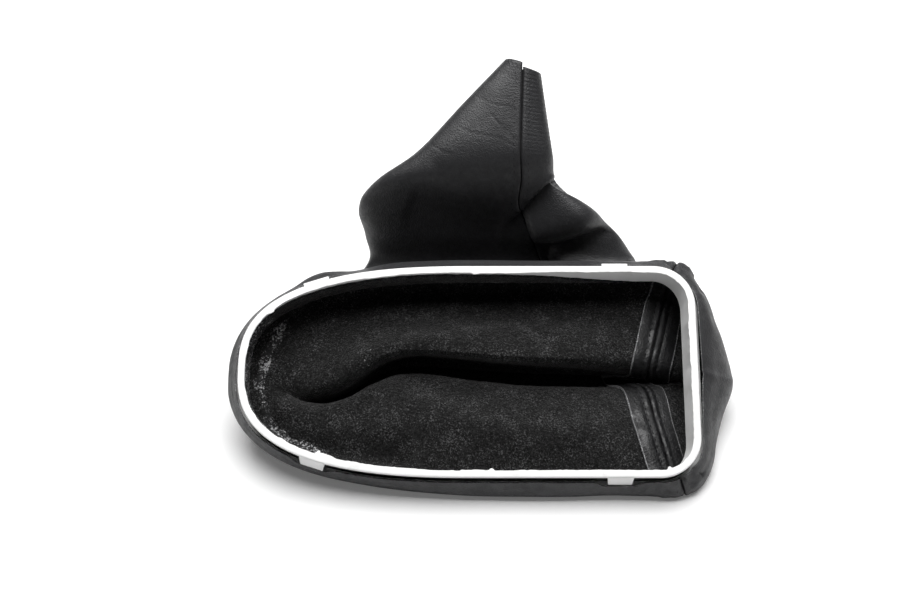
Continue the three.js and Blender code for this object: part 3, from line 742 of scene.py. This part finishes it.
def strapMaterial(look):
    material, tree, shader = newMaterial("turnedLeather", Specular_IOR_Level=0.36, Coat_Roughness=0.2)
    grain = useGroup(tree, "grain", Cells_per_metre=1100)
    fleck = useGroup(tree, "fleck", Flecks_per_metre=1100, Share=0.42)
    mottle = useGroup(tree, "mottle", Patches_per_metre=210)
    glue = ramp(tree, mottle["Patches"], 0.45, 0.85)
    base = mixColour(tree, grain["Tone"], look["dark"], look["light"])
    feed(tree, shader, Base_Color=mixColour(tree, fleck["Mask"], base, look["fleck"]),
         Roughness=ramp(tree, mottle["Patches"], 0.2, 0.9, *look["rough"]),
         Coat_Weight=times(tree, glue, look["glue"]))
    bump(tree, shader, plus(tree, grain["Height"], times(tree, fleck["Fuzz"], look["fuzz"])), look["deep"])
    return material


# Felt of fine and coarse fuzz, with lint on it
feltLook = {"dark": 0.0006, "light": 0.024, "fleck": (0.1, 0.1, 0.102), "coarse": 1.5, "deep": 0.0006}


def feltMaterial(look):
    material, tree, shader = newMaterial("blackFelt", Specular_IOR_Level=0.12, Sheen_Weight=0.12,
                                         Sheen_Roughness=0.5, Roughness=0.95)
    fleck = useGroup(tree, "fleck", Flecks_per_metre=1500, Share=0.53)
    coarse = useGroup(tree, "fleck", Flecks_per_metre=620, Share=0.4)
    fuzz = plus(tree, times(tree, fleck["Fuzz"], 0.6), times(tree, coarse["Fuzz"], 0.4))
    shade = mixColour(tree, ramp(tree, fuzz, 0.41, 0.65), look["dark"], look["light"])
    feed(tree, shader, Base_Color=mixColour(tree, fleck["Mask"], shade, look["fleck"]))
    bump(tree, shader, plus(tree, fleck["Fuzz"], times(tree, coarse["Fuzz"], look["coarse"])), look["deep"])
    return material


# Felt with dried glue in it, which shines where it is white
glueFeltLook = {"dark": 0.003, "light": (0.02, 0.02, 0.021), "fleck": (0.5, 0.5, 0.51), "rough": (0.85, 0.3),
                "coat": 0.6, "coarse": 1.5, "deep": 0.0008}


def glueFeltMaterial(look):
    material, tree, shader = newMaterial("gluedFelt", Specular_IOR_Level=0.35, Coat_Roughness=0.2)
    fleck = useGroup(tree, "fleck", Flecks_per_metre=1000, Share=0.58)
    coarse = useGroup(tree, "fleck", Flecks_per_metre=520, Share=0.5)
    shade = mixColour(tree, coarse["Fuzz"], look["dark"], look["light"])
    feed(tree, shader, Base_Color=mixColour(tree, fleck["Mask"], shade, look["fleck"]),
         Roughness=ramp(tree, fleck["Mask"], 0, 1, *look["rough"]),
         Coat_Weight=times(tree, fleck["Mask"], look["coat"]))
    bump(tree, shader, plus(tree, fleck["Fuzz"], times(tree, coarse["Fuzz"], look["coarse"])), look["deep"])
    return material


edgeLook = {"base": (0.13, 0.13, 0.133), "fleck": (0.52, 0.52, 0.53), "deep": 0.0003}


def edgeMaterial(look):
    material, tree, shader = newMaterial("cutEdge", Roughness=0.85, Specular_IOR_Level=0.3)
    fleck = useGroup(tree, "fleck", Flecks_per_metre=1900, Share=0.6)
    feed(tree, shader, Base_Color=mixColour(tree, fleck["Mask"], look["base"], look["fleck"]))
    bump(tree, shader, fleck["Fuzz"], look["deep"])
    return material


threadLook = {"dark": 0.003, "light": (0.012, 0.012, 0.013), "twists": 1500, "deep": 0.00008}


def threadMaterial(look):
    material, tree, shader = newMaterial("blackThread", Roughness=0.7, Specular_IOR_Level=0.15)
    place = addNode(tree, "TexCoord").outputs["Object"]
    wave = {"Scale": look["twists"], "Distortion": 1.5, "bands_direction": "DIAGONAL"}
    twist = addNode(tree, "TexWave", wave, Vector=place).outputs["Fac"]
    feed(tree, shader, Base_Color=mixColour(tree, twist, look["dark"], look["light"]))
    bump(tree, shader, twist, look["deep"])
    return material


plasticLook = {"light": (0.92, 0.92, 0.915), "shade": (0.89, 0.89, 0.885), "dirt": (0.66, 0.65, 0.63),
               "dirty": 0.25, "rough": (0.38, 0.55), "deep": 0.00003}


def plasticMaterial(look):
    material, tree, shader = newMaterial("whitePlastic", Specular_IOR_Level=0.45)
    mottle = useGroup(tree, "mottle", Patches_per_metre=90)
    dirt = times(tree, ramp(tree, mottle["Patches"], 0.72, 1.0), look["dirty"])
    clean = mixColour(tree, mottle["Patches"], look["light"], look["shade"])
    feed(tree, shader, Base_Color=mixColour(tree, dirt, clean, look["dirt"]),
         Roughness=ramp(tree, mottle["Scuffs"], 0, 1, *look["rough"]))
    bump(tree, shader, mottle["Scuffs"], look["deep"])
    return material


finishes = {
    "leather": leatherMaterial(leatherLook), "strap": strapMaterial(strapLook),
    "felt": feltMaterial(feltLook), "glueFelt": glueFeltMaterial(glueFeltLook),
    "edge": edgeMaterial(edgeLook), "thread": threadMaterial(threadLook),
    "plastic": plasticMaterial(plasticLook),
}
print("finishes", len(finishes))


# Each panel's columns: close together beside the seams, where the leather turns in, then even
panelFineness = {"edge": (0, 0.12, 0.3, 0.55, 0.9, 1.4, 2.1, 3, 4.2, 5.6, 7.2, 9), "turnIn": 1.15,
                 "mouthTurnIn": 0.805, "mouthRows": 1.1, "skiveRows": 2.2}
panels = {
    "main_panel": {"from": "far", "to": "near", "columns": 284, "shorter": 0},
    "rear_panel": {"from": "near", "to": "far", "columns": 96, "shorter": 4},
}


# How far a surface has turned in at some distance from its fold
def turnedIn(away, radius):
    return radius - np.sqrt(np.maximum(0, radius ** 2 - np.maximum(0, radius - away) ** 2))


def panelTurns(panel):
    distances = np.array(panelFineness["edge"]) + leather["seamGap"] / 2
    start = turnsFrom(panel["from"], distances)
    end = turnsFrom(panel["to"], -distances[::-1])
    if panel["from"] == "far":
        start = start - 1
    first, last = start[:, -1:], end[:, :1]
    shares = np.linspace(0, 1, panel["columns"] + 1)[1:-1]
    return np.concatenate([start, first + (last - first) * shares, end], 1)


def gridFaces(rows, columns, start=0, flip=False):
    i = np.arange(rows - 1)[:, None] * columns + np.arange(columns - 1)[None] + start
    quads = np.stack([i, i + columns, i + columns + 1, i + 1], -1).reshape(-1, 4)
    return (quads[:, ::-1] if flip else quads).tolist()


# Joins a fine border to one with half as many points
def borderFaces(fine, coarse, flip):
    fine, coarse = fine.tolist(), coarse.tolist()
    faces = []
    for i in range(len(coarse) - 1):
        a, b, c = fine[2 * i], fine[2 * i + 1], fine[2 * i + 2]
        d, e = coarse[i], coarse[i + 1]
        faces += [(a, b, d), (b, e, d), (b, c, e)]
    return [f[::-1] for f in faces] if flip else faces


def buildPanel(name, panel):
    rows = np.arange(len(skin) - panel["shorter"])
    turns = panelTurns(panel)[rows]
    points, normals = onSkin(rows[:, None], turns)
    count = len(panelFineness["edge"])
    inward = np.zeros(turns.shape[1])
    radius = panelFineness["turnIn"]
    inward[:count] = turnedIn(np.array(panelFineness["edge"]), radius)
    inward[-count:] = inward[:count][::-1]
    mouth = panelFineness["mouthTurnIn"] * np.exp(-(rows[::-1] / panelFineness["mouthRows"]) ** 2)
    face = points + normals * (halfLeather - inward[None] - mouth[:, None])[..., None]
    skived = leather["skive"] * np.exp(-(rows / panelFineness["skiveRows"]) ** 2)
    felt = (points - normals * (halfLeather - skived[:, None, None]))[::2, ::2]
    tall, wide = turns.shape
    index = np.arange(tall * wide).reshape(tall, wide)
    coarse = tall * wide + np.arange(felt[..., 0].size).reshape(felt.shape[:2])
    faces = [gridFaces(tall, wide), gridFaces(*coarse.shape, tall * wide, True)]
    walls = borderFaces(index[0], coarse[0], True)
    walls += borderFaces(index[-1], coarse[-1], False)
    walls += borderFaces(index[:, 0], coarse[:, 0], False)
    walls += borderFaces(index[:, -1], coarse[:, -1], True)
    slots = [0] * len(faces[0]) + [1] * len(faces[1]) + [2] * len(walls)
    allPoints = np.concatenate([face.reshape(-1, 3), felt.reshape(-1, 3)])
    allFaces = faces[0] + faces[1] + walls
    piece = meshPiece(name + "_leather", allPoints, allFaces, ["leather", "felt", "edge"], slots)
    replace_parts(piece, name)
    cut = np.cross(points[1:, :-1] - points[:-1, :-1], points[:-1, 1:] - points[:-1, :-1])
    area = np.linalg.norm(cut, axis=-1).sum()
    wide = np.linalg.norm(np.diff(points, axis=1), axis=-1).sum(1).max()
    tall = np.linalg.norm(np.diff(points, axis=0), axis=-1).sum(0).max()
    print(name, "flat", wide.round(0), tall.round(0), "mm, area", (area / 100).round(0), "cm2,",
          "triangles", sum(len(f) - 2 for f in allFaces))
    return piece, wide, tall, area


# A closed slab between two grids of points. Its faces run over the top, the underside and the walls.
def slabPiece(name, top, under, flip, materials, slots=None):
    tall, wide = top.shape[:2]
    layer = tall * wide
    faces = gridFaces(tall, wide, 0, flip) + gridFaces(tall, wide, layer, not flip)

    def addWall(first, second, turned):
        quad = (first, second, layer + second, layer + first)
        faces.append(quad if turned == flip else quad[::-1])

    for i in range(tall - 1):
        addWall(i * wide, (i + 1) * wide, False)
        addWall((i + 1) * wide - 1, (i + 2) * wide - 1, True)
    for j in range(wide - 1):
        addWall(j, j + 1, True)
        addWall(layer - wide + j, layer - wide + j + 1, False)
    points = np.concatenate([top.reshape(-1, 3), under.reshape(-1, 3)])
    return meshPiece(name, points, faces, materials, slots)


# The sewn join inside each seam, which closes the gap between the panels. Near the mouth it stops short.
seamCore = {"half": 0.7, "columns": 5, "thick": 0.3, "deep": 0.25, "short": 7}


def buildSeamCore(name, seam):
    c = seamCore
    rows = np.arange(len(skin) - c["short"])
    turns = turnsFrom(seam, np.linspace(-c["half"], c["half"], c["columns"]))
    points, normals = onSkin(rows[:, None], turns[rows])
    slabPiece(name, points - normals * (c["deep"] + c["thick"]), points - normals * c["deep"],
              False, ["thread"])


# The allowances turned back beside each seam, glued and topstitched, with a rounded fold at the seam.
# Their width is given by side: -1 is the left one and 1 the right one.
strap = {
    "columns": (0, 0.15, 0.4, 0.75, 1.2, 1.9, 2.7, 3.5, 4.4, 5.4, 6.4, 7.2, 7.6, 8), "wide": {-1: 9.8, 1: 8},
    "puff": 0.45, "fold": 0.6, "pinch": 0.4, "gap": 0.08, "wander": 0.35, "lumps": 0.12, "thinnest": 0.25,
    "start": 2.5, "short": 8,
}
# Two rows of topstitching flank each seam, and show on the face and on the turned-back straps
stitch = {
    "offset": 3.1, "pitch": 3.1, "length": 2.3, "faceFrom": 1.2, "points": 7, "uneven": 0.12, "skew": 4e-5,
    "face": {"radius": 0.15, "sink": 0.3, "arch": -0.6}, "strap": {"radius": 0.27, "sink": 0.3, "arch": 0.8},
}


def buildStrap(name, seam, side):
    away = np.array(strap["columns"])
    away = away * np.where(away > 1, strap["wide"][side] / away[-1], 1)
    turns = turnsFrom(seam, side * (away + leather["seamGap"] / 2))
    rows = np.flatnonzero(skinLevels >= strap["start"])[:-strap["short"]]
    turns = turns[rows]
    along = np.stack([rows * 0.9, np.full(len(rows), side * 7.0), np.full(len(rows), len(seam) * 5.0)], -1)
    wander = strap["wander"] * noise(along, 9, 81, 2)
    turns[:, -1] += wander * (turns[:, -1] - turns[:, -2])
    points, normals = onSkin(rows[:, None], turns)
    height = leather["allowanceThick"] - turnedIn(away, strap["fold"])
    height += strap["puff"] * hump(away, 1.4, 1) - strap["pinch"] * hump(away, stitch["offset"], 0.5)
    height = np.maximum(strap["thinnest"], height[None] + strap["lumps"] * noise(points, 3.2, 91, 2))
    under = points - normals * (halfLeather + strap["gap"])
    tall, wide = turns.shape
    topRow = [0] * (wide - 2) + [2]  # the last column shows the pale cut edge
    walls = [0, 2] * (tall - 1) + [2] * (2 * (wide - 1))
    slots = topRow * (tall - 1) + [0] * ((tall - 1) * (wide - 1)) + walls
    slabPiece(name, under - normals * height[..., None], under, side > 0, ["strap", "felt", "edge"], slots)


# One closed tube with rounded ends for each path of points and their upward directions
def tubesAlong(paths, radius, sides=6):
    points, faces = [], []
    for path, up in paths:
        along = unit(np.gradient(path, axis=0))
        across = unit(np.cross(along, up))
        lift = np.cross(across, along)
        ends = np.sqrt(np.clip(1 - np.linspace(-1, 1, len(path)) ** 6, 0.03, 1)) * radius
        rings = [len(points) + k * sides for k in range(len(path))]
        for k in range(len(path)):
            for a in 2 * math.pi * np.arange(sides) / sides:
                points.append(path[k] + ends[k] * (math.cos(a) * across[k] + math.sin(a) * lift[k]))
        for ring in rings[:-1]:
            for s in range(sides):
                a, b = ring + s, ring + (s + 1) % sides
                faces.append((a, b, b + sides, a + sides))
        faces.append(tuple(range(rings[0], rings[0] + sides))[::-1])
        faces.append(tuple(range(rings[-1], rings[-1] + sides)))
    return np.array(points), faces


def buildStitches(name, seam, side, face):
    s = stitch
    thread = s["face" if face else "strap"]
    rows = np.flatnonzero(skinLevels >= (s["faceFrom"] if face else strap["start"]))[:-strap["short"]]
    turns = turnsFrom(seam, [side * s["offset"]])[rows, 0]
    points, normals = onSkin(rows, turns)
    along = runLengths(points)
    lift = halfLeather if face else -(halfLeather + leather["allowanceThick"] - strap["pinch"] + strap["gap"])
    shift = 0 if face else s["pitch"] / 2
    spread = np.linspace(-1, 1, s["points"])
    arch = 1 - spread ** 2
    rise = thread["radius"] * thread["arch"] * arch - thread["sink"] * (1 - arch)
    paths = []
    for k in range(int((along[-1] - shift) / s["pitch"])):
        start = shift + k * s["pitch"] + rng.uniform(-s["uneven"], s["uneven"])
        reach = start + np.linspace(0, s["length"], s["points"])
        place = np.interp(reach, along, np.arange(len(rows)))
        skew = spread * rng.uniform(-s["skew"], s["skew"])
        p, n = onSkin(rows[0] + place, np.interp(reach, along, turns) + skew)
        up = np.sign(lift) * n
        paths.append((p + n * lift + up * rise[:, None], up))
    points, faces = tubesAlong(paths, thread["radius"])
    meshPiece(name, points, faces, ["thread"])


# The sleeve's mouth is turned in by a hem
hem = {"gap": 0.1, "thick": 0.9, "fold": 0.5, "overStrap": 0.1, "strapEnd": (7.5, 9.5)}


def buildHem(name, panel):
    turns = panelTurns(panel)[:, ::2]
    rows = np.flatnonzero(skinLevels >= lastLevel - leather["hem"] / bandLengths[-1])
    rows = rows[:len(rows) - panel["shorter"]]
    turns = turns[rows]
    points, normals = onSkin(rows[:, None], turns)
    depth = np.linalg.norm(np.diff(points, axis=0), axis=-1).mean(1)
    up = np.r_[np.cumsum(depth[::-1])[::-1], 0]
    lower = points - normals * (halfLeather + hem["gap"])
    lower = lower - normals * strapCover(turns)[..., None]
    upper = lower - normals * (hem["thick"] - turnedIn(up, hem["fold"])[:, None])[..., None]
    tall, wide = turns.shape
    slots = [0] * (2 * (tall - 1) * (wide - 1)) + [1] * (2 * (tall + wide - 2))
    slabPiece(name, upper, lower, True, ["leather", "edge"], slots)


# How far the hem stands off where the straps lie under it
def strapCover(turns):
    mouthLength = seamDistance["near"].max(1)[-1] * 2
    away = np.minimum(turns - turns[:, :1], turns[:, -1:] - turns) * mouthLength
    cover = leather["allowanceThick"] + strap["gap"] + hem["overStrap"]
    return cover * (1 - smooth(away, *hem["strapEnd"]))


# The frame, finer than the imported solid: rounded edges, mould flash and the nicks in its rim
frameFineness = {"columns": 1080, "round": 4}
rimFlash = {"fine": 0.16, "grit": 0.1, "end": 0.3, "endSpan": 4, "nose": 0.5, "noseSpan": 14, "wave": 0.05,
            "depth": 0.35, "foot": 0.9, "footShare": 0.25}
rimWear = {  # x from the ring's middle, half width, reach inwards (minus for a nick) on the inner edge
    "near": [(-58.3, 3.4, 0.9), (-62, 0.8, 1.4), (-47.5, 2.5, 0.35), (-12.5, 6, -0.4), (-4.5, 1.2, -0.6),
             (9.6, 1, 0.8), (14, 5, -0.35), (82.4, 0.9, 1.0), (-77, 1.5, 0.4)],
    "far": [(-38, 9, 0.25), (3.2, 1.4, 0.5), (12, 12, 0.35), (40, 8, -0.3), (62, 10, -0.25), (-84, 1.1, 0.8)],
}


# A ring's section at each column. Corners are (columns, 2) each, and those with a radius become arcs.
def roundedSection(corners, radii, steps):
    out = []
    for i, p in enumerate(corners):
        a, b = corners[i - 1], corners[(i + 1) % len(corners)]
        if radii[i] == 0:
            out.append(p)
            continue
        for t in np.arange(steps + 1) / steps:
            out.append(p + radii[i] * ((1 - t) ** 2 * unit(a - p) + t ** 2 * unit(b - p)))
    return np.stack(out, 1)


# A closed ring along the frame's outline, from a section of reach and height
def ringPiece(name, outline, section, material):
    x, y, nx, ny = (v[:, None] for v in outline)
    across = section[..., 0]
    points = fromFrame(x + nx * across, y + ny * across, section[..., 1])
    n, m = points.shape[:2]
    i = np.arange(n)[:, None]
    j = np.arange(m)[None]
    quads = np.stack([i * m + j, i * m + (j + 1) % m, (i + 1) % n * m + (j + 1) % m, (i + 1) % n * m + j], -1)
    return meshPiece(name, points, quads.reshape(-1, 4).tolist(), [material], sharp=50)


def buildFrame():
    s, f = frameSize, rimFlash
    outline = outlineAt(np.arange(frameFineness["columns"]) / frameFineness["columns"])
    x, y, nx, ny = outline
    end = np.maximum(0, nx) ** 2 * (x > 0)
    draft = s["sideDraft"] + (s["endDraft"] - s["sideDraft"]) * end
    ring = np.stack([x, y, 0 * x], -1)
    flash = f["fine"] * noise(ring, 4, 101, 3) + f["grit"] * noise(ring, 1.2, 103, 1)
    flash += hump(x, halfLength, f["endSpan"]) * f["end"] * noise(ring, 4, 107, 3)
    flash += hump(x, -halfLength, f["noseSpan"]) * f["nose"] * noise(ring, 5, 111, 3)
    for name, marks in rimWear.items():
        onSide = (y < 0) if name == "near" else (y > 0)
        for middle, half, reach in marks:
            flash += np.where(onSide & (np.abs(nx) < 0.97), reach * np.exp(-((x - middle) / half) ** 4), 0)
    lift = f["wave"] * noise(ring, 7, 109, 2)
    foot = s["flangeThick"] - s["depth"]
    corners = [  # reach, height and radius, from the rim's outer edge round to its inner edge
        (0, lift, 0.35), (0, -s["lip"], 0.25), (-s["groove"], -s["lip"], 0.15), (-s["groove"], foot, 0.15),
        (s["flange"], foot, 0.3), (s["flange"], -s["depth"], 0.35), (-s["rim"] - draft, -s["depth"], 0.4),
        (-s["rim"] - f["footShare"] * flash, -f["foot"], 0), (-s["rim"] - flash, -f["depth"], 0),
        (-s["rim"] - flash, lift, 0.22),
    ]
    one = np.ones_like(x)
    section = roundedSection([np.stack([r * one, z * one], -1) for r, z, radius in corners],
                             [radius for r, z, radius in corners], frameFineness["round"])
    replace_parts(ringPiece("white_frame", outline, section, "plastic"), "clip_frame")


# Black band in the frame's groove under the rim: painted shade, a dark sheet that darkens the gap between the
# rim and the leather
grooveShadeBand = {"thick": 0.45, "top": 1.85, "middle": 4, "bottom": 8.1, "wave": 0.12, "sunk": 0.03}


# Builds the band of painted shade in the groove, which makes the gap under the rim black
def buildGrooveShadeBand():
    b = grooveShadeBand
    columns = frameFineness["columns"] // 2
    outline = outlineAt(np.arange(columns) / columns)
    x, y = outline[:2]
    one = np.ones_like(x)
    inner, outer = -frameSize["groove"] + b["sunk"], -frameSize["groove"] + b["thick"]
    wave = b["wave"] * noise(np.stack([x, y, 0 * x], -1), 3, 113, 2)
    corners = [np.stack([r * one + w * wave, z * one], -1) for r, z, w in (
        (inner, -b["top"], 0), (outer, -b["top"], 0), (outer, -b["middle"], 1),
        (outer, -b["bottom"], 1), (inner, -b["bottom"], 0))]
    ringPiece("groove_shade_band", outline, roundedSection(corners, (0, 0.1, 0, 0.1, 0), 2), "felt")


# Sheets on the frame's inner wall: in the nose felt with dried glue on it, and along the far side a dark felt
# sheet of painted shade on the white wall under the far rim. Each runs from an x on the far side to one on
# the near side (1) or the far side (-1), and its top below the rim along the way
wallLiningAndShadeSheets = {
    "nose_lining": {"from": -84, "to": -75, "toSide": 1, "columns": 200, "finish": "glueFelt",
                    "top": [(0, 1.2), (0.06, 0.5), (0.9, 0.6), (1, 5)]},
    # painted shade: a dark felt sheet over the far inner wall, which darkens the white plastic under the far
    # rim
    "far_wall_shade_sheet": {"from": 72, "to": -89, "toSide": -1, "columns": 380, "finish": "felt",
                    "top": [(0, 10), (0.08, 8), (0.24, 3.4), (0.5, 1.4), (0.8, 1.8), (1, 0.8)]},
}
liningAndShadeSheet = {
    "thick": 0.5, "highest": 0.3, "bottom": 9.9, "rows": 14, "ragged": 0.35, "behind": 0.04, "clear": 0.12,
}


def buildWallLiningAndShadeSheet(name, spec):
    last = spec["toSide"] * turnAtX(spec["to"])
    x, y, nx, ny = outlineAt(np.linspace(-turnAtX(spec["from"]), last, spec["columns"]))
    share = np.linspace(0, 1, liningAndShadeSheet["rows"])[:, None]
    top = curveThrough(spec["top"], np.linspace(0, 1, spec["columns"]))[None]
    place = np.stack([x + 0 * share, y + 0 * share, 10 * share + 0 * x], -1)
    ragged = liningAndShadeSheet["ragged"] * noise(place * (1, 1, 0), 2.3, 127, 2)
    bottom = liningAndShadeSheet["bottom"]
    depth = bottom + (np.clip(top + ragged, liningAndShadeSheet["highest"], bottom - 0.1) - bottom) * (1 - share)
    lumps = 0.4 * noise(place, 3.5, 121, 3) + 0.25 * noise(place, 1.1, 123, 2)
    wall = -frameSize["rim"] - frameSize["sideDraft"] * depth / frameSize["depth"]
    inner = wall - liningAndShadeSheet["clear"] - liningAndShadeSheet["thick"] * smooth(share, 0, 0.12) * (1 + lumps)
    rear = wall - liningAndShadeSheet["behind"]
    slabPiece(name, fromFrame(x + nx * inner, y + ny * inner, -depth),
              fromFrame(x + nx * rear, y + ny * rear, -depth), False, [spec["finish"]])


# A film of dried glue on the felt inside the nose, sunk under the felt at its ragged border
glueFilm = {
    "levels": (4.6, 6.2), "turns": (-0.15, 0.15), "rows": 60, "columns": 460, "height": 0.26, "wide": 9,
    "line": [(292, 313), (272, 338), (263, 366), (262, 394), (270, 424), (288, 441), (318, 454)],
    "ragged": 1.1, "rough": 0.35, "sunk": 0.5,
}


def buildGlueFilm():
    g = glueFilm
    levels = np.linspace(*g["levels"], g["rows"])[:, None]
    turns = np.linspace(*g["turns"], g["columns"])[None]
    points, normals = onSkin(np.interp(levels, skinLevels, np.arange(len(skinLevels))), turns)
    away = lineDistance(*toPicture(points), g["line"])[0]
    border = 1 - away / g["wide"] + g["ragged"] * noise(points, 5, 131, 3)
    lift = g["height"] * (2 * smooth(border, 0.2, 0.7) - 1) + g["rough"] * noise(points, 1.2, 133, 3)
    slabPiece("nose_glue", points - normals * (halfLeather + lift)[..., None],
              points - normals * (halfLeather - g["sunk"]), False, ["glueFelt"])


def buildClip(name, turn):
    c = clipSize
    x, y, nx, ny = (float(v) for v in outlineAt(np.array(turn)))
    along = np.array([-ny, nx])
    out = np.array([nx, ny])
    back = -frameSize["groove"] - c["root"] * 0.5
    crown = c["nearCrown"] if ny < 0 else c["proud"]
    foot = c["proud"] + c["footReach"]
    sides = ((-c["width"] / 2, 0, crown), (c["width"] / 2, 0, crown),
             (c["tip"] / 2, -c["height"], foot), (-c["tip"] / 2, -c["height"], foot))
    corners = []
    for inner in (True, False):
        for half, z, reach in sides:
            p = np.array([x, y]) + along * half + out * (back if inner else reach)
            corners.append(fromFrame(p[0], p[1], z - c["below"]))
    faces = [(0, 1, 2, 3), (7, 6, 5, 4), (0, 4, 5, 1), (1, 5, 6, 2), (2, 6, 7, 3), (3, 7, 4, 0)]
    piece = meshPiece(name, np.array(corners), faces, ["plastic"])
    edit = bmesh.new()
    edit.from_mesh(piece.data)
    bmesh.ops.recalc_face_normals(edit, faces=edit.faces)
    bmesh.ops.bevel(edit, geom=edit.edges[:], offset=c["bevel"] * mm, segments=3, profile=0.6, affect="EDGES")
    for face in edit.faces:
        face.smooth = True
    edit.to_mesh(piece.data)
    edit.free()


for name, panel in panels.items():
    buildPanel(name, panel)
for seam in seams:
    buildSeamCore(seam + "_seam_core", seam)
    for side, word in ((-1, "left"), (1, "right")):
        buildStrap(f"{seam}_{word}_strap", seam, side)
        for place in ("face", "strap"):
            buildStitches(f"{seam}_{word}_{place}_stitches", seam, side, place == "face")
for name, panel in panels.items():
    buildHem(name + "_hem", panel)
buildFrame()
buildGrooveShadeBand()
for name, spec in wallLiningAndShadeSheets.items():
    buildWallLiningAndShadeSheet(name, spec)
buildGlueFilm()
for k, turn in enumerate((clipTurns[0], clipTurns[1], 1 - clipTurns[0], 1 - clipTurns[1])):
    buildClip(f"frame_clip_{k + 1}", turn)
print("pieces built")

# Floor, light and camera
studio = {"floor": 6.0, "floorColour": (0.93, 0.93, 0.93), "floorLift": 0.12, "world": 0.04,
          "lamp": {"energy": 31, "size": 1.35, "at": (0.0, 0.34, 1.2)}}


def buildFloor():
    material, tree, shader = newMaterial("studioFloor", Roughness=0.9, Specular_IOR_Level=0.1)
    shader.inputs["Base Color"].default_value = (*studio["floorColour"], 1)
    shader.inputs["Emission Color"].default_value = (1, 1, 1, 1)
    seen = addNode(tree, "LightPath").outputs["Is Camera Ray"]
    feed(tree, shader, Emission_Strength=times(tree, seen, studio["floorLift"]))
    bpy.ops.mesh.primitive_grid_add(x_subdivisions=8, y_subdivisions=8, size=studio["floor"])
    floor = bpy.context.object
    floor.name = "studio_floor"
    floor.data.materials.append(material)


def buildLamp(energy, size, at):
    data = bpy.data.lights.new("topSoftbox", "AREA")
    data.energy = energy
    data.size = size
    lamp = bpy.data.objects.new("topSoftbox", data)
    lamp.location = at
    target = Vector(toPlace(np.array([0.0, 0, rimHeight])))
    lamp.rotation_euler = (target - Vector(at)).to_track_quat("-Z", "Y").to_euler()
    bpy.context.scene.collection.objects.link(lamp)


def buildWorld():
    world = bpy.data.worlds.new("studioWorld")
    bpy.context.scene.world = world
    world.use_nodes = True
    tree = world.node_tree
    seen = addNode(tree, "LightPath").outputs["Is Camera Ray"]
    background = tree.nodes["Background"]
    background.inputs["Color"].default_value = (1, 1, 1, 1)
    feed(tree, background, Strength=plus(tree, times(tree, seen, 1 - studio["world"]), studio["world"]))


def buildCamera():
    data = bpy.data.cameras.new("camera")
    data.sensor_width = 36
    data.lens = view["focal"] / view["wide"] * data.sensor_width
    camera = bpy.data.objects.new("camera", data)
    camera.location = toPlace(eye)
    camera.rotation_euler = (math.radians(90 - view["elevation"]), 0, 0)
    bpy.context.scene.collection.objects.link(camera)
    bpy.context.scene.camera = camera


buildFloor()
buildLamp(**studio["lamp"])
buildWorld()
buildCamera()
bpy.context.scene.view_settings.view_transform = "Standard"
print("studio ready")
